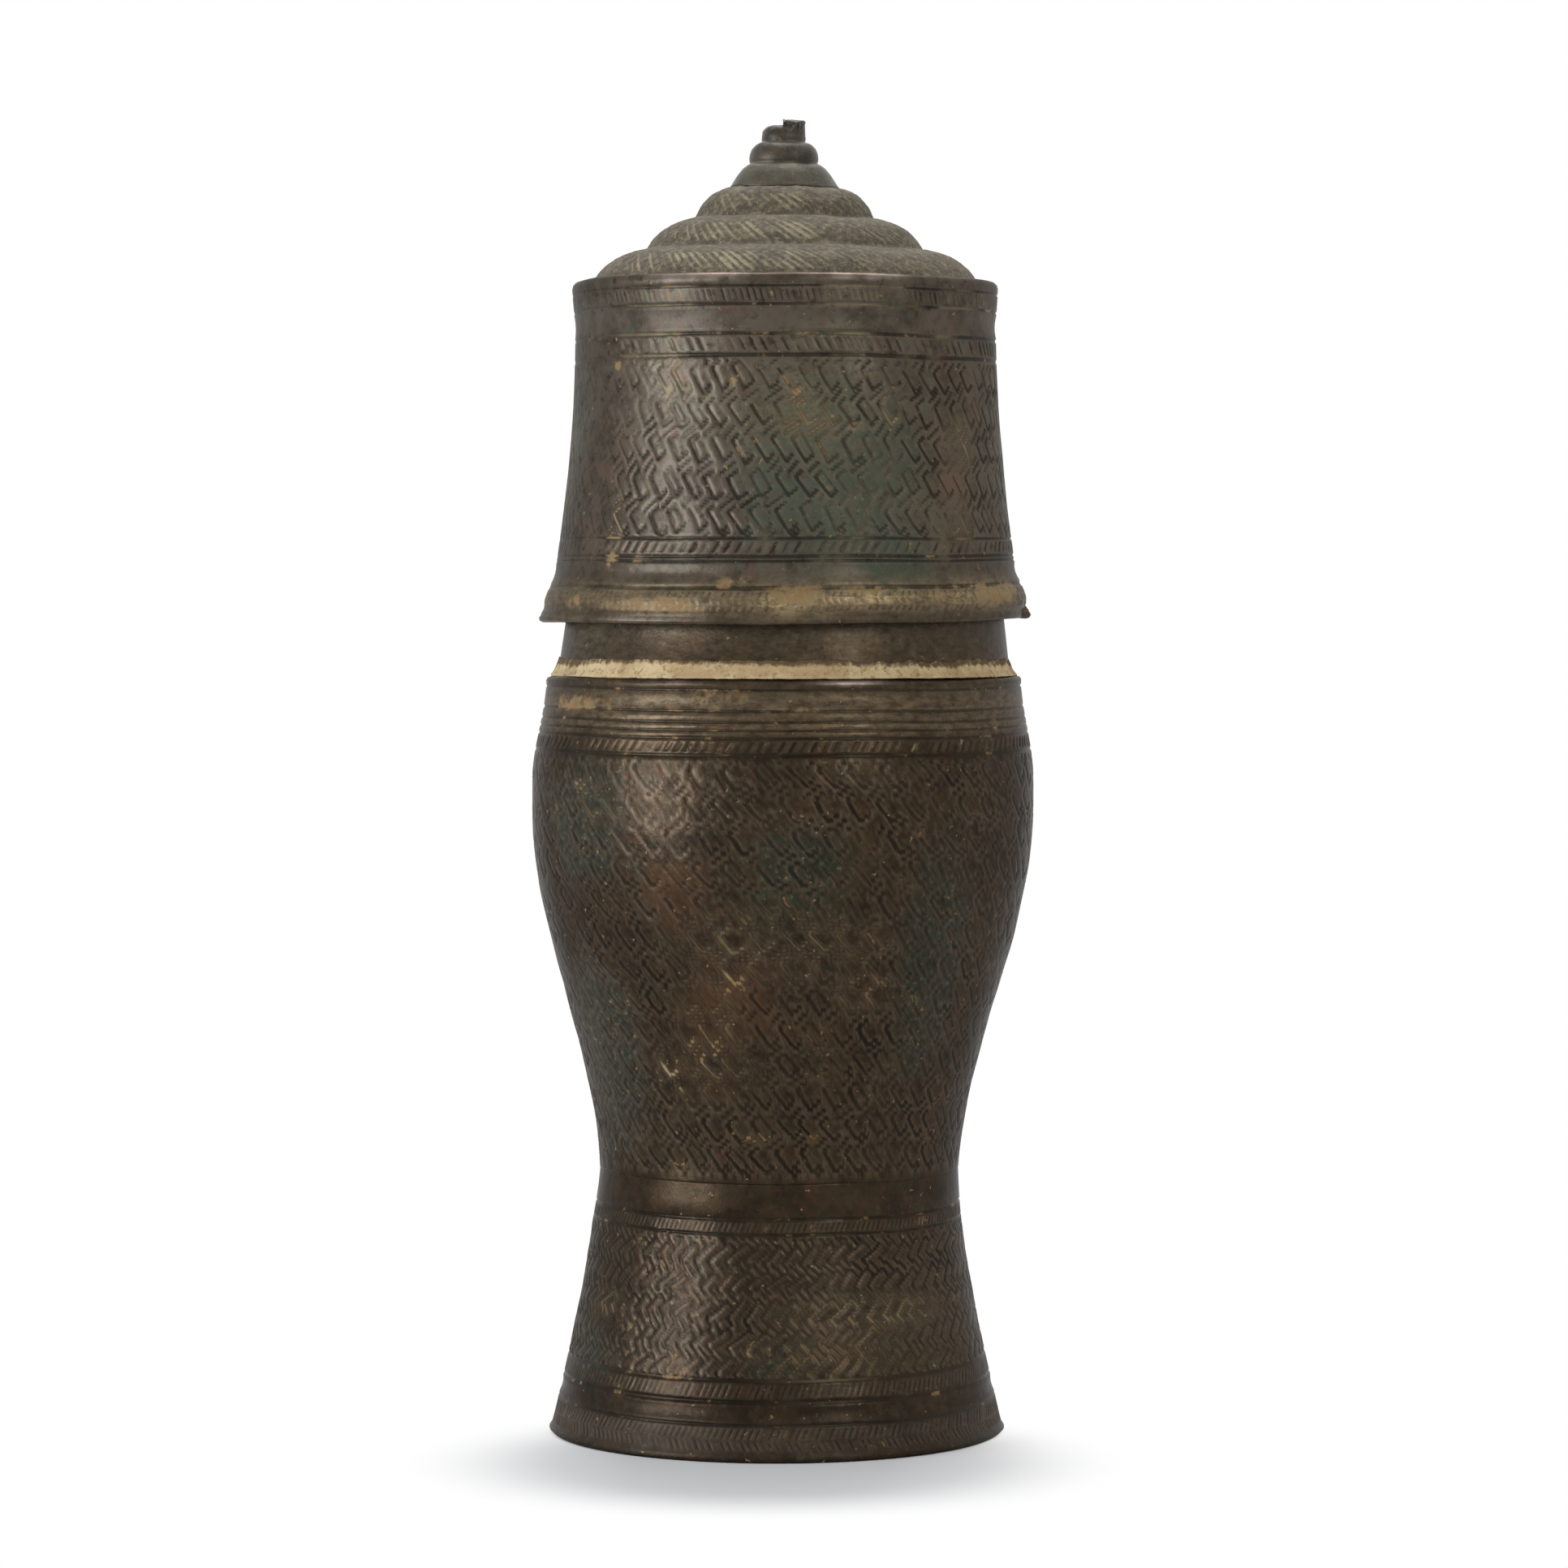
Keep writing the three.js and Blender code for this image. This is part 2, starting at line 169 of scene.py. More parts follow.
# Photograph: its size, scale and eye level give the camera
PHOTO_PIXELS = 1932
PIXELS_PER_MM = 10
EYE_LEVEL_PIXEL = 729
CAMERA_DISTANCE = 660 * MM
CAMERA_HEIGHT = 103.4 * MM
CAMERA_SIDE = 0.3 * MM
CAMERA_SENSOR = 36

# The axis of the casting is not quite straight: height, then shift to the right, in millimetres
CROOKED_AXIS = (
    (0, -0.6), (25, -0.6), (32, -0.3), (56, 0), (92, 0.25), (102, 0.45), (120, 0.55), (136, 0.5),
    (146, 0.35), (161, 0.25),
)

# Old marks on the bronze, and with them painted highlights on the lips, ledge lip and rim edge and a painted
# sheen on the ledge
# and neck: bearing in degrees from the front, positive to the right, then height, half width and half height
# in millimetres, then strength. A half width of 400 runs all round. The strength falls off from the middle,
# the faster the higher the fall is.
MARK_FALL = 0.7
MARKS = {
    "verdigris": (
        (11, 118.5, 11, 10, 1.0), (28, 107, 5, 4, 0.9), (-72, 121.5, 6, 7, 0.5),
        (-57, 97, 4.5, 2.4, 1.3), (-51, 75, 6, 8, 0.9), (4, 70, 7.5, 6, 0.9), (-30, 66, 4, 3, 0.5),
        (-55, 48.5, 6, 11, 0.9), (40, 59, 6, 13, 0.8), (-70, 11, 8, 4, 0.7), (-3, 11.5, 6, 3, 0.6),
        (120, 112, 12, 9, 1.0), (-150, 125, 9, 8, 0.8), (160, 76, 9, 8, 0.9), (-110, 60, 8, 12, 0.9),
        (95, 40, 7, 9, 0.7), (175, 18, 10, 5, 0.8),
    ),
    "rust": (
        (-26, 67.5, 6, 5, 0.9), (14, 69, 4, 6, 0.7), (-14, 55, 8, 6, 0.9), (49, 116, 5, 8, 0.8),
        (57, 126, 4, 5, 0.7), (-52, 116, 7, 12, 0.6), (140, 60, 8, 8, 0.9), (-130, 108, 6, 6, 0.8),
        (-160, 45, 7, 8, 0.8),
    ),
    "tan_dirt": (
        (0, 102.2, 400, 1.4, 0.45), (6, 123.5, 5, 3, 0.55), (52, 121, 4, 4, 0.55), (50, 111, 3, 3, 0.5),
        (29, 125.5, 1.3, 2.2, 1.0), (-48, 110.5, 1.2, 4.5, 1.0), (-21, 49.5, 2, 2.6, 1.0),
        (-20, 52, 5, 7, 0.5), (22, 56, 6, 3, 0.5), (-45, 78, 5, 3, 0.5), (-32, 45.5, 2.2, 2, 0.9),
        (-12, 57, 1.6, 2.4, 0.8), (-4, 62, 16, 6, 0.45), (-22, 47, 9, 6, 0.45), (12, 12, 14, 4, 0.42),
        (30, 17, 14, 3, 0.5), (-58, 17, 6, 3, 0.45), (4, 126.3, 2, 1.5, 0.8), (-52, 80, 2, 1, 0.8),
        (-13, 85, 1, 0.7, 1.0), (28, 85, 2, 0.7, 0.9), (-150, 60, 3, 3, 0.8), (150, 58, 14, 6, 0.45),
        (110, 14, 8, 4, 0.45),
    ),
    "tan_smear": (
        (3, 102.2, 4, 1.7, 1.0), (-29, 101.9, 8, 1.0, 0.75), (20, 103.4, 5, 0.7, 0.8),
        (-12, 104.6, 3, 0.8, 0.8), (56, 102.8, 11, 1.4, 1.0), (-55, 102, 8, 1.0, 0.7),
        (-57, 90.3, 8, 1.1, 1.0), (-18, 90.5, 9, 1.1, 1.0), (4, 90.1, 3, 0.8, 0.85),
        (30, 95.7, 9, 0.8, 0.9), (-40, 95.9, 9, 0.8, 0.9), (-60, 97.5, 5, 2.0, 0.6),
        (-14, 128.7, 0.8, 1.2, 1.0), (-51, 130.5, 0.6, 0.6, 1.0), (-48, 107, 1.0, 1.6, 0.9),
        (130, 102, 16, 1.6, 0.9), (-135, 102, 10, 1.4, 0.9), (170, 90.4, 9, 1.0, 0.9),
    ),
    # dust film, and at its patches on the left of the ledge and neck a painted sheen
    "pale_film_and_painted_sheen": (
        (0, 102.7, 400, 1.4, 0.54), (22, 102.6, 9, 1.4, 0.9), (2, 102.2, 6, 1.6, 1.0),
        (52, 102.6, 12, 1.5, 1.0), (0, 90.2, 400, 1.4, 0.64), (12, 98, 34, 3, 0.16),
        (-52, 90.4, 4, 0.9, 0.9), (-24, 90.9, 6, 0.6, 0.9), (0, 87.6, 400, 1.2, 0.5),
        (-38, 88.5, 8, 2.4, 0.6), (0, 95.2, 400, 1.8, 0.62), (-28, 96.3, 12, 2.2, 0.6),
        (20, 95.6, 10, 1.4, 0.5), (-62, 97, 7, 3, 0.58), (4, 125, 8, 5, 0.2), (55, 16, 14, 9, 0.22),
        (0, 2.7, 400, 1.5, 0.12), (60, 119, 12, 12, 0.1),
    ),
    "grime": (
        (0, 136.4, 400, 1.5, 0.3), (0, 17, 400, 9, 0.08), (0, 96, 400, 2.8, 0.3),
        (0, 90.4, 400, 1.6, 0.3), (0, 2.4, 400, 1.5, 0.8),
    ),
    # rubbed lips, and at the front of the lips, ledge lip and rim edge painted highlights
    "worn_and_painted_highlight": (
        (-23, 141.0, 8, 0.7, 0.9), (21, 141.0, 7, 0.7, 0.8), (-27, 92.7, 7, 0.5, 0.5),
        (16, 92.7, 6, 0.5, 0.9), (-45, 100.1, 12, 0.6, 0.5), (150, 141.0, 10, 0.7, 1.0),
        (-120, 141.0, 8, 0.7, 1.0), (120, 92.7, 8, 0.5, 0.8), (-150, 100.1, 9, 0.6, 0.6),
    ),
}


# Turned walls. Every point of an outline has a lean, the angle by which it is turned about the axis,
# so that the edges of the spun mesh run along the strokes of a stroke row.
@dataclass(frozen=True)
class Band:
    """A ring of ornament on a turned wall. A plait's long strokes lean by its slope and rise by a share of
    its row, and a hook turns off at both ends. The hook is a run and a rise, as shares of the spacing and
    the row. Rings counts the mesh's rings in a row of a plait, and bars is the strength of its bars."""

    kind: str
    low: float
    high: float
    depth: float = 0.0
    rows: int = 1
    columns: int = 1
    slope: float = 0.0
    width: float = 0.34
    hook: tuple = (0.29, 0.24)
    rise: float = 0.6
    rings: int = 8
    bars: float = 0.85


@dataclass(frozen=True)
class Point:
    """A point of an outline, with its place in the ornament."""

    radius: float
    height: float
    lean: float = 0.0
    band: Band = None
    share: float = 0.0
    row: int = 0


LEVELS = {
    "groove": (0.0, 0.2, 0.5, 0.8),
    "cove": (0.0, 0.14, 0.32, 0.5, 0.68, 0.86),
    "strokes": (0.0, 0.14, 0.32, 0.68, 0.86),
}
PLAIN_STEP = 1.6


def levels(band):
    """Heights of the mesh's rings in a row of a band, as shares of the row."""
    if band.kind in LEVELS:
        return LEVELS[band.kind]
    count = band.rings if band.kind == "plait" else max(1, round((band.high - band.low) / PLAIN_STEP))
    return [i / count for i in range(count)]


def stacked(base, bottom, *rings):
    """Bands that meet end to end from the bottom up. Each ring has its kind, its top and its settings, and
    the heights are above the base."""
    bands = []
    for kind, top, settings in rings:
        bands.append(Band(kind, base + bottom, base + top, **settings))
        bottom = top
    return bands


def wall(bands, radius_at):
    """Points up a wall that follows radius_at and carries these bands."""
    points = []
    lean = 0.0
    for band in bands:
        row_height = (band.high - band.low) / band.rows
        for row in range(band.rows):
            for share in levels(band):
                height = band.low + (row + share) * row_height
                radius = float(radius_at(height))
                if points:
                    last = points[-1]
                    slope = last.band.slope if last.band.kind == "strokes" else 0
                    lean += slope * (height - last.height) / radius
                points.append(Point(radius, height, lean, band, share, row))
    return points


def with_lean(points, lean):
    """Points with no ornament, all turned by one lean."""
    return [Point(radius, height, lean) for radius, height in points]


def smooth(share):
    """A soft step from 0 to 1."""
    share = np.clip(share, 0, 1)
    return share * share * (3 - 2 * share)


def foot_radius(height):
    share = np.clip((FOOT_TOP - height) / FOOT_TOP, 0, 1)
    return WAIST_RADIUS + (FOOT_RADIUS - WAIST_RADIUS) * share**FOOT_CURVE


def body_radius(height):
    lower = smooth((height - BELLY_ROOT) / (BELLY_HEIGHT - BELLY_ROOT))
    upper = smooth((height - SHOULDER_HEIGHT) / (LEDGE_HEIGHT - SHOULDER_HEIGHT))
    return WAIST_RADIUS + (BELLY_RADIUS - WAIST_RADIUS) * lower + (LEDGE_RADIUS - BELLY_RADIUS) * upper


def neck_radius(height):
    return NECK_RADIUS - NECK_TAPER * (height - LEDGE_HEIGHT)


def sleeve_radius(height):
    share = np.clip((SLEEVE_WAIST - height) / (SLEEVE_WAIST - RIM_ROOT), 0, 1)
    lip = smooth((height - SLEEVE_WAIST) / (SLEEVE_TOP - SLEEVE_WAIST))
    flare = np.clip((RIM_FLARE_TOP - height) / (RIM_FLARE_TOP - RIM_HEIGHT), 0, 1)
    radius = (
        SLEEVE_WAIST_RADIUS
        + (RIM_ROOT_RADIUS - SLEEVE_WAIST_RADIUS) * share**SLEEVE_CURVE
        + (LIP_RADIUS - SLEEVE_WAIST_RADIUS) * lip
        + RIM_FLARE * flare**RIM_CURVE
    )
    return np.minimum(radius, RIM_RADIUS - 0.1)


# Modelling tools
def deselect():
    if bpy.context.object and bpy.context.object.mode != "OBJECT":
        bpy.ops.object.mode_set(mode="OBJECT")
    bpy.ops.object.select_all(action="DESELECT")


def draw_outline(name, points):
    """One vertex, extruded along the outline. Each vertex keeps its number as its station."""
    deselect()
    places = [
        Vector((p.radius * math.cos(p.lean), p.radius * math.sin(p.lean), p.height)) * MM for p in points
    ]
    bpy.ops.mesh.primitive_plane_add(size=MM, location=places[0])
    piece = bpy.context.object
    piece.name = piece.data.name = name
    bpy.ops.object.transform_apply(location=True, rotation=True, scale=True)
    bpy.ops.object.mode_set(mode="EDIT")
    bpy.ops.mesh.select_all(action="SELECT")
    bpy.ops.mesh.merge(type="CENTER")
    for here, there in zip(places, places[1:]):
        bpy.ops.mesh.extrude_vertices_move(TRANSFORM_OT_translate={"value": there - here})
    bpy.ops.object.mode_set(mode="OBJECT")
    station = piece.data.attributes.new("station", "INT", "POINT")
    station.data.foreach_set("value", np.arange(len(points), dtype=np.int32))
    return piece


def spin(piece, columns):
    """Turns the outline through one sector and copies that sector round the axis, closed at its seams."""
    sector = 2 * math.pi / SECTORS
    bpy.ops.object.mode_set(mode="EDIT")
    bpy.ops.mesh.select_all(action="SELECT")
    bpy.ops.mesh.spin(steps=columns // SECTORS, angle=sector, center=(0, 0, 0), axis=(0, 0, 1))
    bpy.ops.mesh.select_all(action="SELECT")
    bpy.ops.mesh.spin(
        steps=SECTORS - 1, dupli=True, angle=sector * (SECTORS - 1), center=(0, 0, 0), axis=(0, 0, 1)
    )
    bpy.ops.mesh.select_all(action="SELECT")
    bpy.ops.mesh.remove_doubles(threshold=0.002 * MM)
    bpy.ops.mesh.normals_make_consistent(inside=False)
    bpy.ops.object.mode_set(mode="OBJECT")
    bpy.ops.object.shade_smooth()


def read_places(piece):
    places = np.empty(3 * len(piece.data.vertices))
    piece.data.vertices.foreach_get("co", places)
    return places.reshape(-1, 3)


def write_places(piece, places):
    piece.data.vertices.foreach_set("co", places.ravel())
    piece.data.update()


def write_shade(piece, name, values):
    """Keeps a value from 0 to 1 at each vertex for the material to read."""
    shade = piece.data.attributes.new(name, "FLOAT", "POINT")
    shade.data.foreach_set("value", np.asarray(values, dtype=np.float32))


def displace(piece, name, strength, share=None, texture=None):
    """Moves the surface along its normals, by strength millimetres times a share at each vertex."""
    modifier = piece.modifiers.new(name, "DISPLACE")
    modifier.strength = strength * MM
    modifier.mid_level = 0 if texture is None else 0.5
    if texture is not None:
        modifier.texture = texture
        modifier.texture_coords = "LOCAL"
    if share is not None:
        group = piece.vertex_groups.new(name=name)
        for index in np.flatnonzero(share > 0.01):
            group.add([int(index)], share[index], "REPLACE")
        modifier.vertex_group = group.name
    bpy.context.view_layer.objects.active = piece
    bpy.ops.object.modifier_apply(modifier=modifier.name)
    piece.vertex_groups.clear()


def roughen(piece, grain, height, share=None):
    """The uneven skin of hand work: a soft cloud of this grain and height, both in millimetres."""
    texture = bpy.data.textures.new(piece.name + "_skin", "CLOUDS")
    texture.noise_scale = grain * MM
    texture.noise_depth = 2
    displace(piece, "skin", height, share, texture)


# Chased ornament. In a plait, a stroke starts a share of the row above the row's foot, strays by a length
# in millimetres and waves by another, and a row is shifted by up to a share of the spacing. Metal counts as
# near a stroke up to so many widths from it.
PLAIT_FOOT = 0.1
PLAIT_STRAY = 0.4
PLAIT_WAVE = 0.3
PLAIT_ROW_SHIFT = 0.2
PLAIT_NEAR = 1.9

# A stroke of a ring fades out over this share of its length at each end
STROKE_FADE = 0.16


def chance(a, b):
    """A number from 0 to 1 that looks random but is the same on each run."""
    mixed = np.sin(np.asarray(a) * 12.9898 + np.asarray(b) * 78.233) * 43758.5453
    return mixed - np.floor(mixed)


def from_stroke(x, y, start, run):
    """Distance of these points from a straight stroke."""
    along = np.clip(((x - start[0]) * run[0] + (y - start[1]) * run[1]) / np.dot(run, run), 0, 1)
    return np.hypot(x - start[0] - along * run[0], y - start[1] - along * run[1])


def plait_cut(band, column, row, share, spacing, count):
    """A plaited field: rows of strokes that lean one way and run on in line from row to row, each with a
    second one beside it that is mostly worn away. Hooks that lean the other way turn off at both ends, and
    bars cross between the rows. Gives the depth of the cut and the nearness to one."""
    height = (band.high - band.low) / band.rows
    gap = float(spacing.mean())
    foot = np.array((0, PLAIT_FOOT * height))
    line = band.rise * height * np.array((band.slope, 1))
    hook = np.array((gap, height)) * band.hook
    bar = foot + (0.5 + 0.5 / band.rise) * line - 0.4 * hook
    depth = np.zeros_like(spacing)
    nearness = np.zeros_like(spacing)
    for row_back in (-1, 0, 1):
        here = row - row_back
        shift = PLAIT_ROW_SHIFT * chance(here, band.low)
        turn = column / band.columns - here * band.slope * height / gap + shift
        motif = np.floor(turn)
        for motif_back in (-1, 0, 1):
            number = (motif - motif_back) % count
            first = chance(number, here)
            second = chance(here + 7, number)
            y = (share + row_back) * height + PLAIT_STRAY * (first - 0.5)
            x = (turn - motif + motif_back) * spacing + PLAIT_STRAY * (second - 0.5)
            worn = 0.5 + 0.5 * first
            for start, run, strength in (
                (foot, line, worn),
                (foot, hook, 0.55 + 0.45 * worn),
                (foot + hook, 0.9 * line, np.where(second > 0.9, 0.5, 0.2)),
                (foot + line, hook, np.where(second > 0.2, worn, 0.3)),
                (bar, 1.6 * hook, band.bars * np.where(first > 0.15, 0.6 + 0.4 * second, 0.2)),
            ):
                distance = from_stroke(x, y, start, run) / band.width
                depth = np.maximum(depth, strength * np.clip(1 - distance**2, 0, 1) ** 1.5)
                nearness = np.maximum(nearness, strength * np.clip(PLAIT_NEAR - distance, 0, 1))
    return depth, nearness


def stroke_row_cut(band, column, share):
    """A ring of short parallel strokes, as on a twisted cord. Gives the depth and the nearness to one."""
    number = np.round(column / band.columns)
    offset = np.abs(column / band.columns - number) * 2
    profile = np.clip(1 - offset / (2.6 * band.width), 0, 1) ** 1.8
    window = np.clip(np.minimum(share, 1 - share) / STROKE_FADE, 0, 1)
    luck = chance(number, band.low)
    strength = window * np.where(luck < 0.08, 0.1, 0.35 + 0.65 * luck)
    return profile * strength, 0.6 * strength


def chase(piece, points, columns, kept):
    """Cuts the bands of an outline into its spun piece, and keeps the cuts and ridges for the material.
    Kept gives the share of the cuts that wear has left, by bearing and height."""
    station = np.empty(len(piece.data.vertices), dtype=np.int32)
    piece.data.attributes["station"].data.foreach_get("value", station)
    places = read_places(piece)
    angle = np.arctan2(places[:, 1], places[:, 0])
    radius = np.hypot(places[:, 0], places[:, 1])
    lean = np.array([p.lean for p in points])[station]
    share = np.array([p.share for p in points])[station]
    row = np.array([p.row for p in points])[station]
    column = np.round((angle - lean) / (2 * math.pi) * columns) % columns
    height = places[:, 2] / MM
    # uneven wear, in slow waves round and up the piece
    wear = (
        0.72
        + 0.22 * np.sin(3 * angle + 0.12 * height) * np.sin(5 * angle - 0.07 * height + 1)
        + 0.2 * np.sin(8 * angle + 0.31 * height + 2) * np.sin(0.45 * height - 3 * angle)
    )
    left = kept(np.degrees(np.arctan2(places[:, 0], -places[:, 1])), height)
    depth = np.zeros(len(station))
    recess = np.zeros(len(station))
    ridge = np.zeros(len(station))
    calm = np.array([p.band is not None and p.band.kind in ("plain", "cove") for p in points])[station]
    for band in dict.fromkeys(p.band for p in points if p.band and p.band.kind != "plain"):
        here = np.array([p.band == band for p in points])[station]
        nearness = 0
        if band.kind == "plait":
            spacing = 2 * math.pi * radius[here] / MM * band.columns / columns
            count = columns // band.columns
            cut, nearness = plait_cut(band, column[here], row[here], share[here], spacing, count)
            line = row[here] + share[here]
            inset = smooth(np.minimum(line, band.rows - line) / 0.6) * MM
            swing = PLAIT_WAVE * inset * np.sin(4 * angle[here] + 1.7 * line)
            places[here, 2] += swing * np.sin(7 * angle[here] - line)
            angle[here] += PLAIT_WAVE * inset / radius[here] * np.sin(9 * angle[here] + 2.3 * line)
        elif band.kind == "strokes":
            cut, nearness = stroke_row_cut(band, column[here], share[here])
        else:
            cut = np.sin(math.pi * share[here])
        depth[here] = band.depth * cut * wear[here] * left[here]
        recess[here] = 0 if band.kind == "cove" else cut * left[here]
        ridge[here] = np.clip(nearness - 1.6 * cut, 0, 1) * left[here]
    places[:, 0] = radius * np.cos(angle)
    places[:, 1] = radius * np.sin(angle)
    write_places(piece, places)
    write_shade(piece, "recess", recess)
    write_shade(piece, "ridge", ridge)
    write_shade(piece, "calm", calm)
    displace(piece, "chasing", -float(depth.max()), depth / depth.max())
    piece.data.attributes.remove(piece.data.attributes["station"])


def waver(piece, flat):
    """Rings a little out of true, as on hand-turned wax. What stands on the ground stays flat."""
    places = read_places(piece)
    angle = np.arctan2(places[:, 1], places[:, 0])
    rise = sum(size * np.sin(waves * angle + turn) for waves, turn, size in RING_WAVES)
    rise *= np.clip(np.hypot(places[:, 0], places[:, 1]) / (6 * MM), 0, 1)
    places[:, 2] += rise * MM * smooth(places[:, 2] / (4 * MM))
    places[flat, 2] = 0
    write_places(piece, places)


def lean_over(piece):
    """The axis of the cast piece is a little crooked, by the same amount in every piece."""
    places = read_places(piece)
    heights, shifts = zip(*CROOKED_AXIS)
    places[:, 0] += np.interp(places[:, 2] / MM, heights, shifts) * MM
    reach = cad_box[1].x - 0.01 * MM
    places[:, 0] = np.clip(places[:, 0], -reach, reach)
    write_places(piece, places)


def mark(piece, name, spots):
    """Keeps where a mark lies on the piece: soft spots by bearing and height."""
    places = read_places(piece) / MM
    bearing = np.degrees(np.arctan2(places[:, 0], -places[:, 1]))
    radius = np.hypot(places[:, 0], places[:, 1])
    share = np.zeros(len(places))
    for spot_bearing, height, half_width, half_height, strength in spots:
        turn = (bearing - spot_bearing + 180) % 360 - 180
        across = np.radians(turn) * radius / half_width
        up = (places[:, 2] - height) / half_height
        share = np.maximum(share, strength * np.exp(-MARK_FALL * (across**2 + up**2)))
    write_shade(piece, name, share)


def all_kept(bearing, height):
    return np.ones_like(height)


def turned(name, points, columns, kept=all_kept):
    """A turned piece with its bands chased into it, from its outline."""
    piece = draw_outline(name, points)
    spin(piece, columns)
    chase(piece, points, columns, kept)
    flat = read_places(piece)[:, 2] < 0.05 * MM
    roughen(piece, grain=7, height=0.12)
    waver(piece, flat)
    return piece


def weathered(piece):
    """The piece, with all its old marks and the painted highlights and sheen among them."""
    for name, spots in MARKS.items():
        mark(piece, name, spots)
    return piece


def spun(name, outline, columns):
    """A piece with no ornament, from its outline."""
    piece = draw_outline(name, with_lean(outline, 0))
    spin(piece, columns)
    piece.data.attributes.remove(piece.data.attributes["station"])
    return piece


# Pieces
def pedestal_foot():
    plait = dict(
        depth=0.24, rows=5, columns=9, slope=1.05, width=0.32, hook=(0.36, -0.24), rise=0.64, rings=10
    )
    bands = stacked(
        0,
        0.9,
        ("plain", 1.3, {}),
        ("strokes", 2.6, dict(depth=0.24, columns=3, slope=-0.5)),
        ("strokes", 4.1, dict(depth=0.24, columns=3, slope=0.5)),
        ("groove", 4.6, dict(depth=0.17)),
        ("cove", 6.7, dict(depth=0.18)),
        ("groove", 7.4, dict(depth=0.2)),
        ("strokes", 9.2, dict(depth=0.12, columns=3, slope=0.4)),
        ("groove", 9.9, dict(depth=0.18)),
        ("plait", 26.4, plait),
        ("groove", 26.8, dict(depth=0.14)),
        ("strokes", 28.1, dict(depth=0.12, columns=3, slope=0.4)),
        ("groove", COLLAR_BOTTOM + 0.1, dict(depth=0.16)),
        ("plain", FOOT_TOP - 0.2, {}),
        ("plain", FOOT_TOP - 0.02, {}),
    )
    outside = wall(bands, foot_radius)
    below = [(FOOT_RADIUS - FOOT_WALL, 0), (FOOT_RADIUS - 0.2, 0), (FOOT_RADIUS + 0.12, 0.35)]
    hollow = [(foot_radius(z) - FOOT_WALL, z) for z in FOOT_HOLLOW]
    inside = [
        (WAIST_RADIUS, FOOT_TOP - 0.02),
        (WAIST_RADIUS - 0.02, FOOT_TOP),
        (SOCKET_RADIUS, FOOT_TOP),
        (SOCKET_RADIUS, SOCKET_BOTTOM),
        (SOCKET_LEDGE_RADIUS, SOCKET_BOTTOM),
        (SOCKET_LEDGE_RADIUS, SOCKET_BOTTOM - 1.6),
        *hollow,
    ]
    points = with_lean(below, 0) + outside + with_lean(inside, outside[-1].lean)
    return weathered(turned("chased_foot", points, FOOT_COLUMNS))


def container_body():
    plait = dict(depth=0.19, columns=12, slope=-0.85, width=0.36)
    bands = stacked(
        0,
        FOOT_TOP,
        ("plain", FOOT_TOP + 0.2, {}),
        ("plain", 33.7, {}),
        ("plait", 56.6, plait | dict(rows=6, slope=-0.8)),
        ("plait", 76, plait | dict(rows=5)),
        ("plait", 83.8, plait | dict(rows=2, depth=0.2, bars=0.95)),
        ("groove", 84.4, dict(depth=0.17)),
        ("strokes", 85.9, dict(depth=0.24, columns=4, slope=0.6)),
        ("groove", 86.4, dict(depth=0.19)),
        ("plain", 86.85, {}),
        ("groove", 87.3, dict(depth=0.16)),
        ("plain", 87.8, {}),
        ("groove", 88.3, dict(depth=0.17)),
        ("plain", 89.1, {}),
        ("groove", 89.6, dict(depth=0.2)),
        ("plain", 91.6, {}),
        ("groove", 92.05, dict(depth=0.18)),
        ("plain", 92.3, {}),
    )
    outside = wall(bands, body_radius)
    mouth_radius = neck_radius(MOUTH_HEIGHT)
    spigot = [
        (SPIGOT_RADIUS - SPIGOT_WALL, SPIGOT_BOTTOM),
        (SPIGOT_RADIUS, SPIGOT_BOTTOM),
        (SPIGOT_RADIUS, FOOT_TOP - 0.02),
        (WAIST_RADIUS - 0.02, FOOT_TOP - 0.02),
    ]
    belly = [(body_radius(z) - BODY_WALL, z) for z in BELLY_HOLLOW]
    inside = [
        (LEDGE_RADIUS + 0.05, LEDGE_HEIGHT - 0.45),
        (LEDGE_RADIUS - 0.1, LEDGE_HEIGHT - 0.15),
        (LEDGE_RADIUS - 0.45, LEDGE_HEIGHT),
        (NECK_RADIUS + 0.12, LEDGE_HEIGHT + 0.02),
        (NECK_RADIUS - 0.02, LEDGE_HEIGHT + 0.2),
        (neck_radius(RIM_HEIGHT), RIM_HEIGHT),
        (mouth_radius + 0.05, MOUTH_HEIGHT - 0.4),
        (mouth_radius - 0.35, MOUTH_HEIGHT),
        (mouth_radius - BODY_WALL + 0.3, MOUTH_HEIGHT),
        (mouth_radius - BODY_WALL, MOUTH_HEIGHT - 0.3),
        (NECK_RADIUS - BODY_WALL, LEDGE_HEIGHT),
        *belly,
        (SPIGOT_RADIUS - SPIGOT_WALL, SPIGOT_BOTTOM),
    ]
    points = with_lean(spigot, 0) + outside + with_lean(inside, outside[-1].lean)
    return weathered(turned("chased_container", points, BODY_COLUMNS))


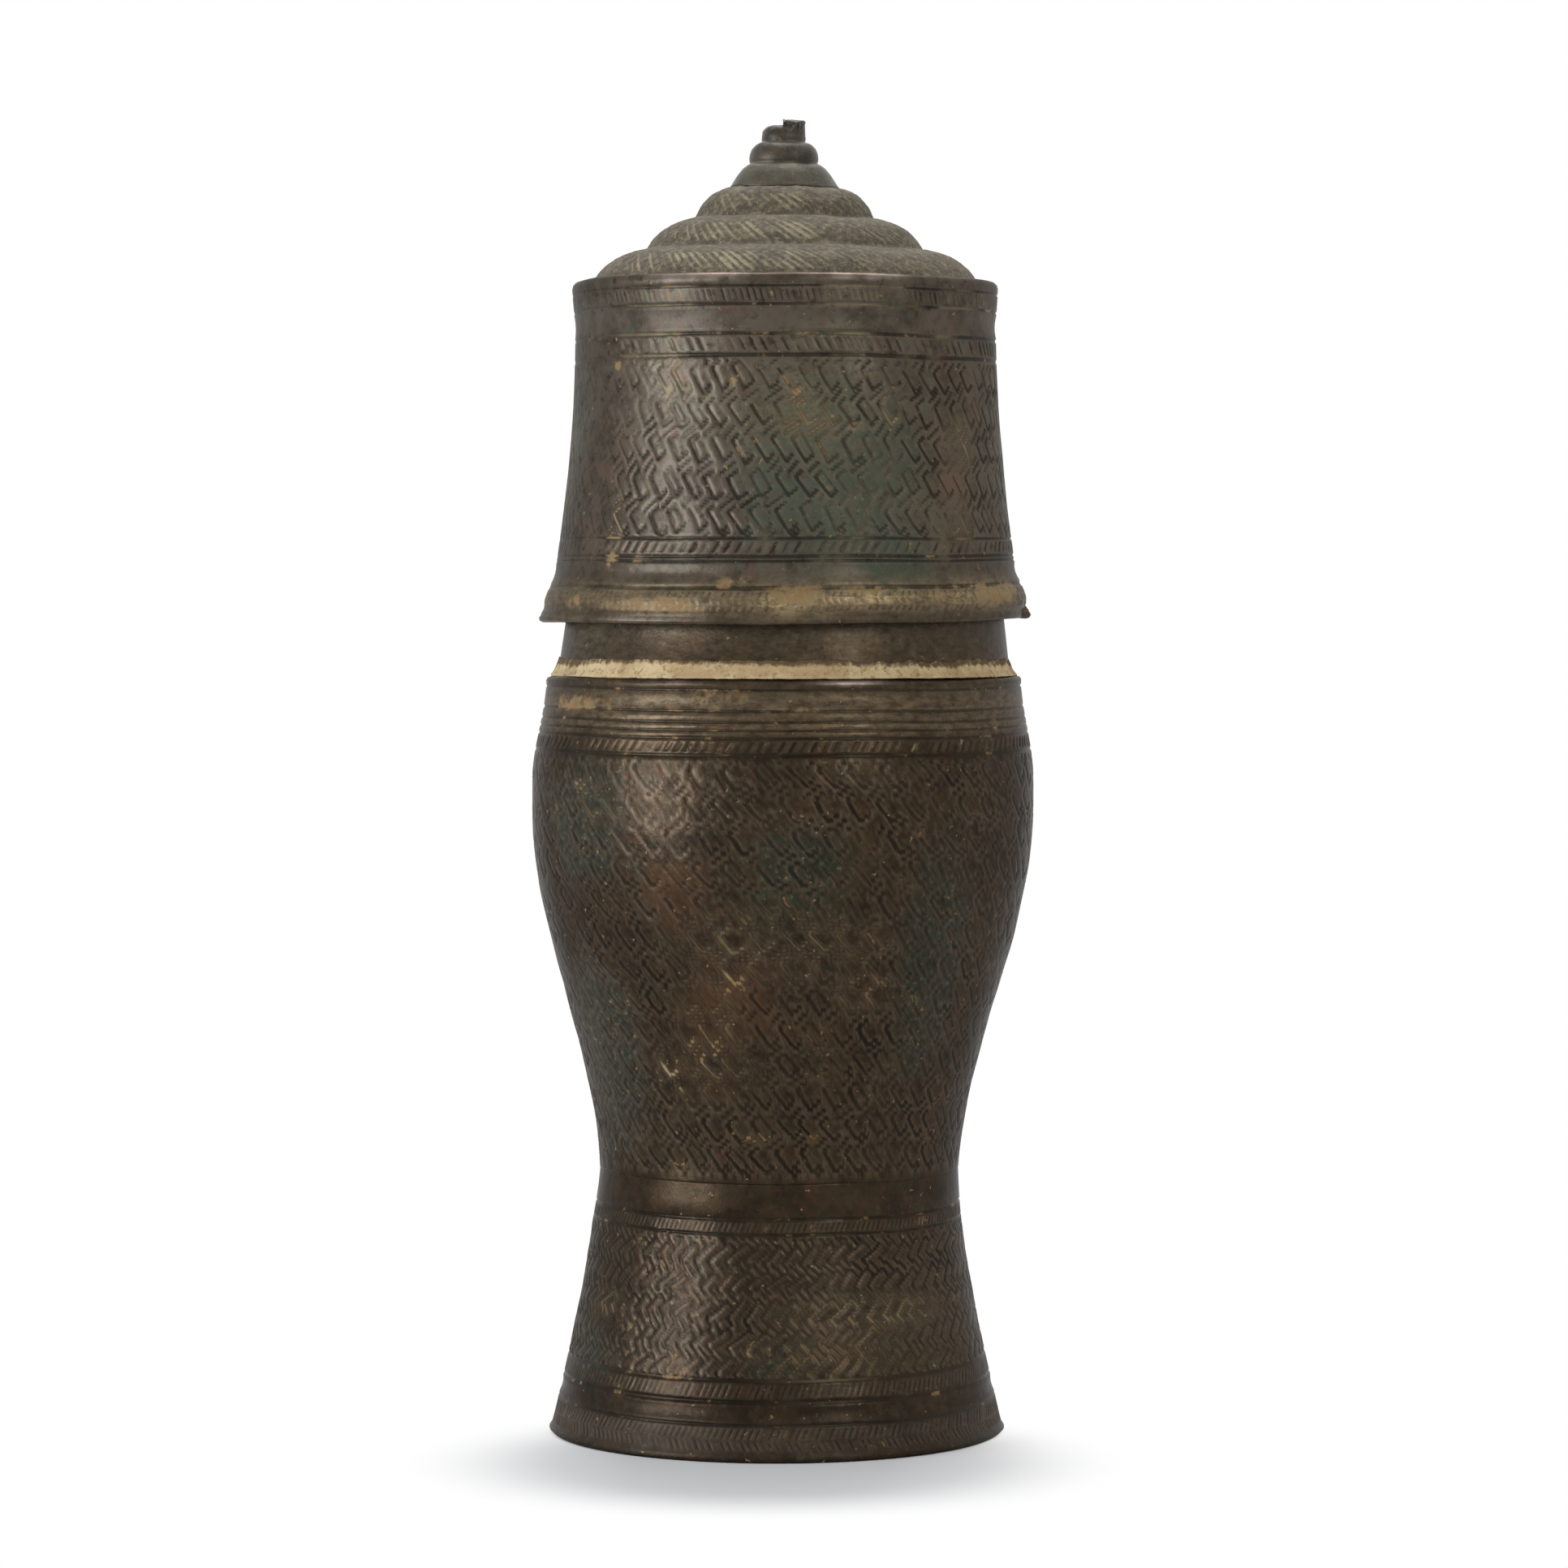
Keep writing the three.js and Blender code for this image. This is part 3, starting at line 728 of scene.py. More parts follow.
def lid_sleeve():
    plait = dict(
        depth=0.26, rows=5, columns=10, slope=-0.62, width=0.36, hook=(0.36, 0.2), rings=12, bars=0.95
    )
    bands = stacked(
        RIM_HEIGHT,
        1.1,
        ("plain", 1.5, {}),
        ("strokes", 2.3, dict(depth=0.13, columns=3, slope=0.3)),
        ("strokes", 3.2, dict(depth=0.13, columns=3, slope=-0.4)),
        ("strokes", 4.0, dict(depth=0.13, columns=3, slope=0.4)),
        ("groove", 4.8, dict(depth=0.18)),
        ("cove", 7.3, dict(depth=0.2)),
        ("groove", 7.8, dict(depth=0.16)),
        ("groove", 8.4, dict(depth=0.17)),
        ("strokes", 10.0, dict(depth=0.24, columns=5, slope=0.6)),
        ("groove", 10.5, dict(depth=0.17)),
        ("plait", 31.6, plait),
        ("groove", 32.3, dict(depth=0.18)),
        ("strokes", 34.2, dict(depth=0.22, columns=5, slope=-0.5)),
        ("groove", 34.8, dict(depth=0.18)),
        ("cove", 37.7, dict(depth=0.2)),
        ("groove", 38.2, dict(depth=0.16)),
        ("strokes", 39.9, dict(depth=0.08, columns=3, slope=-0.25)),
        ("groove", 40.3, dict(depth=0.13)),
        ("plain", SLEEVE_TOP - 0.8 - RIM_HEIGHT, {}),
    )
    outside = wall(bands, sleeve_radius)
    mouth = MOUTH_HEIGHT + 0.4
    edge = [
        (RIM_RADIUS - 1.2, RIM_HEIGHT),
        (RIM_RADIUS - 0.35, RIM_HEIGHT),
        (RIM_RADIUS - 0.08, RIM_HEIGHT + 0.2),
        (RIM_RADIUS, RIM_HEIGHT + 0.55),
        (RIM_RADIUS - 0.15, RIM_HEIGHT + 0.9),
    ]
    inside = [
        (LIP_RADIUS, SLEEVE_TOP - 0.8),
        (LIP_RADIUS - 0.12, SLEEVE_TOP - 0.38),
        (LIP_RADIUS - 0.4, SLEEVE_TOP - 0.1),
        (LIP_RADIUS - 0.8, SLEEVE_TOP),
        (REBATE_RADIUS + 0.25, SLEEVE_TOP),
        (REBATE_RADIUS, SLEEVE_TOP - 0.25),
        (REBATE_RADIUS, REBATE_BOTTOM),
        (SEAT_RADIUS, REBATE_BOTTOM),
        (SEAT_RADIUS, REBATE_BOTTOM - 1.6),
        (sleeve_radius(SLEEVE_WAIST) - SLEEVE_WALL, REBATE_BOTTOM - 3.2),
        (sleeve_radius(SLEEVE_MIDDLE) - SLEEVE_WALL, SLEEVE_MIDDLE),
        (neck_radius(mouth) + LID_CLEARANCE, mouth),
        (neck_radius(RIM_ROOT) + LID_CLEARANCE, RIM_ROOT),
        (RIM_RADIUS - 1.2, RIM_HEIGHT),
    ]
    points = with_lean(edge, 0) + outside + with_lean(inside, outside[-1].lean)
    piece = weathered(turned("chased_lid", points, LID_COLUMNS, rubbed_lid))
    bend_rim(piece)
    return piece


def rubbed_lid(bearing, height):
    """The lid's strokes are rubbed faint at its far left."""
    return 1 - 0.55 * smooth((-42 - bearing) / 16) * smooth((bearing + 130) / 30)


def bend_rim(piece):
    """A rim bent up at both ends, a little lower and further out on the left, with a run of metal left on
    its right end."""
    places = read_places(piece)
    rise = places[:, 2] / MM - RIM_HEIGHT
    across = places[:, 0] / (RIM_RADIUS * MM)
    flare = smooth(np.hypot(places[:, 0], places[:, 1]) / MM - RIM_ROOT_RADIUS)
    places[:, 0] += RIM_SHIFT * MM * flare * (1 - smooth((rise - 0.6) / 1.4))
    places[:, 2] += (RIM_TILT * across + RIM_BEND * across**2) * MM * (1 - smooth(rise / 14))
    middle = np.array((RIM_RADIUS - LUMP_INSET, 0, RIM_HEIGHT + LUMP_RISE)) * MM
    reach = np.linalg.norm((places - middle) / LUMP_SHAPE, axis=1) / (LUMP_REACH * MM)
    swell = np.clip(1 - reach**2, 0, 1) ** 1.3
    places[:, 0] += LUMP_SWELL * MM * swell
    places[:, 2] -= LUMP_SAG * MM * swell
    write_places(piece, places)


def lid_dome():
    way_in = DOME_FOOT_RADIUS - FINIAL_RADIUS
    foot = np.array((DOME_FOOT_RADIUS, DOME_FOOT))
    tier_points = []
    lean = 0.0
    for width, rise, columns in zip(TIER_WIDTHS, TIER_RISES, CORD_COLUMNS):
        top = foot + (-width * way_in, rise)
        swell = np.array((foot[0] - TIER_BULGE_IN * width * way_in, top[1] - TIER_BULGE_DOWN * rise))
        band = Band("strokes", foot[1], top[1], depth=0.3, columns=columns, slope=-0.95, width=0.5)
        for share in TIER_SHARES:
            place = (1 - share) ** 2 * foot + 2 * share * (1 - share) * swell + share**2 * top
            if tier_points:
                last = tier_points[-1]
                run = math.hypot(place[0] - last.radius, place[1] - last.height)
                lean += band.slope * run / place[0] * (CORD_LOW < share < CORD_HIGH + 0.1)
            along = np.clip((share - CORD_LOW) / (CORD_HIGH - CORD_LOW), 0, 1)
            tier_points.append(Point(place[0], place[1], lean, band, float(along)))
        foot = top
    skirt = [
        (dome_high.x - DOME_WALL, dome_low.z),
        (dome_high.x, dome_low.z),
        (dome_high.x, DOME_FOOT - 0.15),
        (DOME_FOOT_RADIUS + 0.1, DOME_FOOT - 0.02),
    ]
    crown = dome_high.z
    inside = [
        (FINIAL_RADIUS, FINIAL_FOOT - 0.04),
        (FINIAL_RADIUS - 0.3, crown),
        (TENON_RADIUS + 0.2, crown),
        (TENON_RADIUS + 0.2, crown - 2),
        (5.6, crown - 2),
        (dome_high.x - DOME_WALL - 0.25, DOME_FOOT),
        (dome_high.x - DOME_WALL, dome_low.z),
    ]
    points = with_lean(skirt, 0) + tier_points + with_lean(inside, lean)
    piece = turned("dusty_dome", points, DOME_COLUMNS, rubbed_dome)
    tiers = smooth((read_places(piece)[:, 2] / MM - DOME_FOOT - 0.3) / 0.4)
    roughen(piece, grain=1.1, height=0.2, share=tiers)
    return piece


def rubbed_dome(bearing, height):
    """The dome's strokes are rubbed faint on its right side, at its far left and in patches."""
    right = smooth((bearing - 2) / 25) * smooth((150 - bearing) / 30)
    far_left = smooth((-40 - bearing) / 18) * smooth((bearing + 130) / 30)
    patches = (
        0.9
        + 0.2 * np.sin(np.radians(7 * bearing) + 1.3 * height)
        + 0.2 * np.sin(np.radians(19 * bearing))
    )
    return (1 - 0.65 * right - 0.6 * far_left) * patches


def finial():
    """A cone, a ring and a stub, broken off in a torn tip, with its tenon and rivet inside the dome."""
    profile = [
        (6.8, 0), (6.6, 0.25), (6.25, 0.8), (5.75, 1.6), (5.1, 2.4), (4.5, 2.85), (4.2, 2.98), (4.12, 3.1),
        (4.22, 3.25), (4.25, 3.7), (4.18, 4.2), (3.95, 4.8), (3.5, 5.3), (3.05, 5.55), (2.75, 5.62),
        (2.62, 5.75), (2.72, 5.95), (2.75, 6.4), (2.6, 7.0), (2.2, 7.45), (1.9, 7.6), (1.5, 7.7),
        (1.0, 7.75), (0.5, 7.78), (0, 7.8),
    ]
    points = [
        (0, finial_low.z),
        (RIVET_RADIUS - 0.3, finial_low.z),
        (RIVET_RADIUS, finial_low.z + 0.3),
        (RIVET_RADIUS, RIVET_TOP),
        (TENON_RADIUS, RIVET_TOP),
        (TENON_RADIUS, FINIAL_FOOT),
        *((radius, FINIAL_FOOT + height) for radius, height in profile),
    ]
    piece = spun("broken_finial", points, FINIAL_COLUMNS)

    bpy.ops.object.mode_set(mode="EDIT")
    bpy.ops.mesh.select_all(action="DESELECT")
    bpy.ops.object.mode_set(mode="OBJECT")
    for face in piece.data.polygons:
        face.select = face.center.x > 0 and face.center.z / MM > FINIAL_FOOT + BREAK_HEIGHT
    bpy.ops.object.mode_set(mode="EDIT")
    bpy.ops.mesh.extrude_region_move(TRANSFORM_OT_translate={"value": (0, 0, BREAK_RISE * MM)})
    bpy.ops.object.mode_set(mode="OBJECT")
    places = read_places(piece)
    rise = places[:, 2] / MM - FINIAL_FOOT
    upright = smooth((rise - STUB_FOOT) / 0.6) * smooth(places[:, 0] / MM / 1.2)
    radius = np.hypot(places[:, 0], places[:, 1])
    places[:, :2] *= (1 + 0.3 * upright * smooth((radius / MM - 1.2) / 0.6))[:, None]
    reach = np.hypot(places[:, 0], places[:, 1]) / MM
    held = np.minimum(1, STUB_REACH / np.maximum(reach, 0.1))
    places[:, :2] *= np.where(rise > STUB_FOOT, held, 1)[:, None]
    write_places(piece, places)
    torn = smooth((rise - 6.7) / 0.7) * (0.3 + 0.7 * smooth((places[:, 0] / MM + 0.6) / 0.8))
    roughen(piece, grain=0.7, height=0.5, share=torn)
    waver(piece, np.zeros(len(places), dtype=bool))
    places = read_places(piece)
    places[:, 2] = np.minimum(places[:, 2], finial_high.z * MM)
    write_places(piece, places)
    write_shade(piece, "torn", torn)
    write_shade(piece, "upper", smooth((rise - 2.9) / 0.3))
    cone_seam = np.exp(-(((rise - CONE_SEAM) / 0.3) ** 2))
    ring_seam = np.exp(-(((rise - RING_SEAM) / 0.2) ** 2))
    write_shade(piece, "seam_dust", cone_seam + ring_seam)
    return piece


def lime_crust():
    """Dried lime on the ledge, thick at its foot and ragged where it thins out up the neck."""
    low = crust_low.z
    gap = 0.1
    points = [
        (NECK_RADIUS + gap, low),
        (crust_high.x - 0.08, low),
        (crust_high.x, low + 0.12),
        (crust_high.x - 0.2, low + 0.4),
        (NECK_RADIUS + 0.42, low + 0.75),
        (NECK_RADIUS + 0.22, low + 1.2),
        (NECK_RADIUS + 0.08, low + 1.7),
        (neck_radius(low + 2.1) + 0.2, low + 2.1),
        (neck_radius(crust_high.z) + 0.14, crust_high.z - 0.04),
        (neck_radius(crust_high.z) + gap, crust_high.z),
        (neck_radius(low + 1.2) + gap, low + 1.2),
        (NECK_RADIUS + gap, low),
    ]
    piece = spun("dried_lime", points, CRUST_COLUMNS)
    places = read_places(piece)
    bearing = np.arctan2(places[:, 0], -places[:, 1])
    ragged = sum(size * np.sin(waves * bearing + waves) for waves, size in RAGGED_WAVES)
    thin = smooth(0.5 + 0.7 * np.sin(bearing - 0.1))
    share = np.clip(0.96 - 0.08 * thin + (0.05 + 0.08 * thin) * ragged, 0.4, 1)
    far_left = smooth((-bearing - 0.6) / 0.6)
    foot = low * MM
    up = (places[:, 2] - foot) / MM / (crust_high.z - low)
    places[:, 2] = foot + (places[:, 2] - foot) * share
    write_places(piece, places)
    edge = 0.85 * smooth((up - 0.45) / 0.5)
    write_shade(piece, "stain", np.clip(edge + 0.4 * thin + 0.55 * far_left, 0, 1))
    roughen(piece, grain=0.9, height=0.2)
    return piece


# Colours and materials
def linear(hex_colour):
    """sRGB hex to the linear colour that the shader takes."""
    parts = [int(hex_colour[i : i + 2], 16) / 255 for i in (1, 3, 5)]
    return [*(p / 12.92 if p <= 0.04045 else ((p + 0.055) / 1.055) ** 2.4 for p in parts), 1]


def join(tree, node, inputs):
    """Gives the sockets of a node their links and values."""
    for socket, value in inputs.items():
        if isinstance(value, bpy.types.NodeSocket):
            tree.links.new(value, node.inputs[socket])
        else:
            node.inputs[socket].default_value = value


def add(tree, kind, inputs, output=0, **settings):
    """Adds a node with its settings, values and links, and gives one of its outputs."""
    made = tree.nodes.new("ShaderNode" + kind)
    for name, value in settings.items():
        setattr(made, name, value)
    join(tree, made, inputs)
    return made.outputs[output]


def per(millimetres):
    """Scale of a pattern whose features are this far apart."""
    return 1 / (millimetres * MM)


def new_material(name):
    material = bpy.data.materials.new(name)
    material.use_nodes = True
    tree = material.node_tree
    return material, tree, tree.nodes["Principled BSDF"]


SMOOTH = {"interpolation_type": "SMOOTHSTEP"}
COLOUR = {"data_type": "RGBA"}

# Heights in millimetres between which the bronze takes on the lid's grey and the foot's painted shade
LID_LOW = 96
LID_FULL = 106
FOOT_SHADE_HIGH = 30
FOOT_SHADE_FULL = 22


def chased_bronze():
    """Cast bronze under an old brown skin: satin, dark in the strokes, a little bright on the ridges
    between them, with green and rusty patches, tan dirt in the strokes and lips rubbed to clean metal.
    Painted
    light too: painted highlights on the lips, ledge lip and rim edge, a painted sheen on the ledge and neck,
    and painted shade darkening the foot."""
    material, tree, shader = new_material("cast_bronze_brown_patina")
    place = add(tree, "TexCoord", {}, "Object")
    cuts = ("recess", "ridge", "calm")
    recess, ridge, calm, verdigris, rust, tan_dirt, tan_smear, pale_film_and_painted_sheen, grime, worn_and_painted_highlight = (
        add(tree, "Attribute", {}, "Fac", attribute_name=name) for name in (*cuts, *MARKS)
    )
    broad = add(tree, "TexNoise", {"Vector": place, "Scale": per(14), "Detail": 5, "Roughness": 0.6}, "Fac")
    middle = add(tree, "TexNoise", {"Vector": place, "Scale": per(4), "Detail": 5, "Roughness": 0.62}, "Fac")
    fine = add(tree, "TexNoise", {"Vector": place, "Scale": per(1.1), "Detail": 4, "Roughness": 0.65}, "Fac")
    specks = add(tree, "TexNoise", {"Vector": place, "Scale": per(0.75), "Detail": 2}, "Fac")
    hues = add(
        tree, "TexNoise", {"Vector": place, "Scale": per(2.4), "Detail": 5, "Roughness": 0.65}, "Color"
    )

    # brown skin, warmer and cooler by turns, greyer on the lid, mottled finely, and darker towards the foot
    # as painted shade
    turn = add(tree, "MapRange", {"Value": middle, "From Min": 0.35, "From Max": 0.65}, **SMOOTH)
    colour = add(tree, "Mix", {0: turn, 6: linear("#261e15"), 7: linear("#35291c")}, 2, **COLOUR)
    grey = add(tree, "Mix", {0: turn, 6: linear("#3d362d"), 7: linear("#524a40")}, 2, **COLOUR)
    height = add(tree, "SeparateXYZ", {0: place}, "Z")
    lid = add(tree, "MapRange", {"Value": height, "From Min": LID_LOW * MM, "From Max": LID_FULL * MM})
    colour = add(tree, "Mix", {0: lid, 6: colour, 7: grey}, 2, **COLOUR)
    lively = add(tree, "MapRange", {"Value": calm, "To Min": 0.45, "To Max": 0.18})
    lively = add(tree, "Math", {0: lid, 1: 0.15, 2: lively}, operation="MULTIPLY_ADD")
    mottle = add(tree, "MapRange", {"Value": fine, "From Min": 0.5, "From Max": 0.68}, **SMOOTH)
    mottle = add(tree, "Math", {0: mottle, 1: lively}, operation="MULTIPLY")
    dusty = add(tree, "MapRange", {"Value": broad, "From Min": 0.35, "From Max": 0.65}, **SMOOTH)
    dusty = add(tree, "Mix", {0: dusty, 6: linear("#443a2f"), 7: linear("#575046")}, 2, **COLOUR)
    colour = add(tree, "Mix", {0: mottle, 6: colour, 7: dusty}, 2, **COLOUR)
    sooty = add(tree, "MapRange", {"Value": fine, "From Min": 0.46, "From Max": 0.34}, **SMOOTH)
    sooty = add(tree, "Math", {0: sooty, 1: lively}, operation="MULTIPLY")
    colour = add(tree, "Mix", {0: sooty, 6: colour, 7: linear("#1b1510")}, 2, **COLOUR)
    # painted shade: the bronze darkens towards the foot
    foot = add(
        tree,
        "MapRange",
        {"Value": height, "From Min": FOOT_SHADE_HIGH * MM, "From Max": FOOT_SHADE_FULL * MM, "To Max": 0.34},
    )
    colour = add(tree, "Mix", {0: foot, 6: colour, 7: linear("#1b1510")}, 2, **COLOUR)
    for channel, low_tint, lid_tint in (("Red", "#3f2c1f", "#58443a"), ("Green", "#2a2c20", "#4b4e42")):
        hue = add(tree, "SeparateColor", {0: hues}, channel)
        hue = add(
            tree, "MapRange", {"Value": hue, "From Min": 0.53, "From Max": 0.64, "To Max": 0.42}, **SMOOTH
        )
        tint = add(tree, "Mix", {0: lid, 6: linear(low_tint), 7: linear(lid_tint)}, 2, **COLOUR)
        colour = add(tree, "Mix", {0: hue, 6: colour, 7: tint}, 2, **COLOUR)
    rusty = add(tree, "Math", {0: rust, 1: middle}, operation="MULTIPLY")
    rusty = add(
        tree, "MapRange", {"Value": rusty, "From Min": 0.15, "From Max": 0.6, "To Max": 0.8}, **SMOOTH
    )
    foxed = add(tree, "Mix", {0: lid, 6: linear("#4a3323"), 7: linear("#5c4639")}, 2, **COLOUR)
    colour = add(tree, "Mix", {0: rusty, 6: colour, 7: foxed}, 2, **COLOUR)

    # green where damp has worked, with brighter grains of it
    damp = add(tree, "Math", {0: verdigris, 1: broad}, operation="ADD")
    damp = add(tree, "MapRange", {"Value": damp, "From Min": 0.7, "From Max": 1.25}, **SMOOTH)
    speckled = add(tree, "MapRange", {"Value": fine, "From Min": 0.3, "From Max": 0.65})
    damp = add(tree, "Math", {0: damp, 1: speckled}, operation="MULTIPLY")
    green = add(tree, "Mix", {0: lid, 6: linear("#1c271b"), 7: linear("#3b4637")}, 2, **COLOUR)
    colour = add(tree, "Mix", {0: damp, 6: colour, 7: green}, 2, **COLOUR)
    grains = add(
        tree, "MapRange", {"Value": specks, "From Min": 0.55, "From Max": 0.68, "To Max": 0.7}, **SMOOTH
    )
    grains = add(tree, "Math", {0: grains, 1: damp}, operation="MULTIPLY")
    colour = add(tree, "Mix", {0: grains, 6: colour, 7: linear("#56543e")}, 2, **COLOUR)

    # an uneven film of dust, most of it on ledge, neck and rim, with flat flecks where it is thick; on the
    # left of ledge and neck it is also a painted sheen
    flat = add(tree, "Mapping", {"Vector": place, "Scale": (1, 1, 2.4)})
    clouds = add(tree, "TexNoise", {"Vector": flat, "Scale": per(1.6), "Detail": 5, "Roughness": 0.7}, "Fac")
    uneven = add(
        tree,
        "MapRange",
        {"Value": clouds, "From Min": 0.38, "From Max": 0.62, "To Min": 0.3, "To Max": 1.15},
    )
    film_and_sheen = add(tree, "Math", {0: pale_film_and_painted_sheen, 1: uneven}, operation="MULTIPLY")
    film = add(tree, "Mix", {0: lid, 6: linear("#75654f"), 7: linear("#928060")}, 2, **COLOUR)
    colour = add(tree, "Mix", {0: film_and_sheen, 6: colour, 7: film}, 2, **COLOUR)
    flecks = add(tree, "TexNoise", {"Vector": flat, "Scale": per(1.0), "Detail": 4, "Roughness": 0.65}, "Fac")
    flecks = add(tree, "MapRange", {"Value": flecks, "From Min": 0.53, "From Max": 0.66}, **SMOOTH)
    thick = add(tree, "MapRange", {"Value": pale_film_and_painted_sheen, "From Min": 0.58, "From Max": 0.9, "To Max": 0.85})
    flecks = add(tree, "Math", {0: flecks, 1: thick}, operation="MULTIPLY")
    colour = add(tree, "Mix", {0: flecks, 6: colour, 7: linear("#ab9566")}, 2, **COLOUR)

    # ridges rubbed a little brighter, strokes filled with dark or paler dust
    rubbed = add(tree, "MapRange", {"Value": lid, "To Min": 0.66, "To Max": 0.5})
    rubbed = add(tree, "Math", {0: ridge, 1: rubbed}, operation="MULTIPLY")
    edge = add(tree, "Mix", {0: lid, 6: linear("#594b3d"), 7: linear("#5e5449")}, 2, **COLOUR)
    colour = add(tree, "Mix", {0: rubbed, 6: colour, 7: edge}, 2, **COLOUR)
    dust = add(tree, "Math", {0: lid, 1: -0.13, 2: broad}, operation="MULTIPLY_ADD")
    dust = add(tree, "MapRange", {"Value": dust, "From Min": 0.4, "From Max": 0.57}, **SMOOTH)
    settled = add(tree, "Mix", {0: lid, 6: linear("#2b241b"), 7: linear("#665c46")}, 2, **COLOUR)
    dust = add(tree, "Mix", {0: dust, 6: linear("#15110d"), 7: settled}, 2, **COLOUR)
    filled = add(
        tree, "MapRange", {"Value": recess, "From Min": 0.15, "From Max": 0.7, "To Max": 0.7}, **SMOOTH
    )
    colour = add(tree, "Mix", {0: filled, 6: colour, 7: dust}, 2, **COLOUR)

    # tan dirt lodged in the marked strokes and in stray ones, smears of it and stray specks
    stroke_part = add(tree, "MapRange", {"Value": recess, "From Min": 0.3, "From Max": 0.8}, **SMOOTH)
    marked = add(tree, "MapRange", {"Value": tan_dirt, "From Min": 0.2, "From Max": 0.7}, **SMOOTH)
    stray = add(tree, "MapRange", {"Value": middle, "From Min": 0.6, "From Max": 0.7}, **SMOOTH)
    marked = add(tree, "Math", {0: marked, 1: stray}, operation="MAXIMUM")
    dirt = add(tree, "Math", {0: marked, 1: stroke_part}, operation="MULTIPLY")
    broken = add(
        tree, "MapRange", {"Value": middle, "From Min": 0.38, "From Max": 0.6, "To Min": 0.3}, **SMOOTH
    )
    lodged = add(tree, "MapRange", {"Value": recess, "To Min": 0.66})
    smear = tan_smear
    for part in (fine, broken, lodged):
        smear = add(tree, "Math", {0: smear, 1: part}, operation="MULTIPLY")
    smear = add(tree, "MapRange", {"Value": smear, "From Min": 0.1, "From Max": 0.28}, **SMOOTH)
    dirt = add(tree, "Math", {0: dirt, 1: smear}, operation="MAXIMUM")
    loose = add(
        tree, "MapRange", {"Value": specks, "From Min": 0.7, "From Max": 0.76, "To Max": 0.7}, **SMOOTH
    )
    dirt = add(tree, "Math", {0: dirt, 1: loose}, operation="MAXIMUM")
    tan = add(tree, "Mix", {0: turn, 6: linear("#8a7a5a"), 7: linear("#806642")}, 2, **COLOUR)
    colour = add(tree, "Mix", {0: dirt, 6: colour, 7: tan}, 2, **COLOUR)

    # lips rubbed to clean metal, in breaks, and painted highlights on the front of the lips, ledge lip and
    # rim edge
    bare_and_painted_highlight = add(tree, "Math", {0: worn_and_painted_highlight, 1: middle}, operation="MULTIPLY")
    bare_and_painted_highlight = add(tree, "MapRange", {"Value": bare_and_painted_highlight, "From Min": 0.15, "From Max": 0.5}, **SMOOTH)
    colour = add(tree, "Mix", {0: bare_and_painted_highlight, 6: colour, 7: linear("#7f7268")}, 2, **COLOUR)

    # satin where clean, dull where dirty or green
    satin = add(tree, "MapRange", {"Value": middle, "To Min": 0.26, "To Max": 0.38})
    satin = add(tree, "Math", {0: lid, 1: 0.07, 2: satin}, operation="MULTIPLY_ADD")
    dull = damp
    for soil in (dirt, flecks, grime):
        dull = add(tree, "Math", {0: dull, 1: soil}, operation="MAXIMUM")
    rough = add(tree, "Mix", {0: dull, 2: satin, 3: 0.6})
    metal = add(tree, "MapRange", {"Value": dull, "To Min": 0.75, "To Max": 0.1})
    metal = add(tree, "Math", {0: metal, 1: bare_and_painted_highlight}, operation="MAXIMUM")
    grain = add(tree, "Bump", {"Height": fine, "Distance": 0.12 * MM, "Strength": 0.45})
    join(tree, shader, {"Base Color": colour, "Roughness": rough, "Metallic": metal, "Normal": grain})
    join(tree, shader, {"Specular IOR Level": 0.3, "Specular Tint": linear("#b4b4b4")})
    return material


def dusty_bronze():
    """The same bronze under settled dust: dull, grey-tan and grainy, pale in the strokes, dark between."""
    material, tree, shader = new_material("cast_bronze_dusty")
    place = add(tree, "TexCoord", {}, "Object")
    recess, ridge = (
        add(tree, "Attribute", {}, "Fac", attribute_name=name) for name in ("recess", "ridge")
    )
    middle = add(tree, "TexNoise", {"Vector": place, "Scale": per(4), "Detail": 5, "Roughness": 0.6}, "Fac")
    fine = add(tree, "TexNoise", {"Vector": place, "Scale": per(0.8), "Detail": 4, "Roughness": 0.75}, "Fac")
    turn = add(tree, "MapRange", {"Value": middle, "From Min": 0.35, "From Max": 0.65}, **SMOOTH)
    colour = add(tree, "Mix", {0: turn, 6: linear("#50493b"), 7: linear("#5f5747")}, 2, **COLOUR)
    gaps = add(tree, "Math", {0: ridge, 1: 0.7}, operation="MULTIPLY")
    colour = add(tree, "Mix", {0: gaps, 6: colour, 7: linear("#2f2820")}, 2, **COLOUR)
    lodged = add(tree, "MapRange", {"Value": recess, "From Min": 0.1, "From Max": 0.6}, **SMOOTH)
    patchy = add(tree, "MapRange", {"Value": middle, "From Min": 0.3, "From Max": 0.55}, **SMOOTH)
    lodged = add(tree, "Math", {0: lodged, 1: patchy}, operation="MULTIPLY")
    colour = add(tree, "Mix", {0: lodged, 6: colour, 7: linear("#9a8e72")}, 2, **COLOUR)
    shadow = add(
        tree, "MapRange", {"Value": fine, "From Min": 0.5, "From Max": 0.36, "To Max": 0.6}, **SMOOTH
    )
    colour = add(tree, "Mix", {0: shadow, 6: colour, 7: linear("#362f26")}, 2, **COLOUR)
    grit = add(
        tree, "MapRange", {"Value": fine, "From Min": 0.5, "From Max": 0.64, "To Max": 0.65}, **SMOOTH
    )
    colour = add(tree, "Mix", {0: grit, 6: colour, 7: linear("#857a63")}, 2, **COLOUR)
    grain = add(tree, "Bump", {"Height": fine, "Distance": 0.3 * MM, "Strength": 0.8})
    join(tree, shader, {"Base Color": colour, "Roughness": 0.65, "Metallic": 0.15, "Normal": grain})
    join(tree, shader, {"Specular IOR Level": 0.2})
    return material


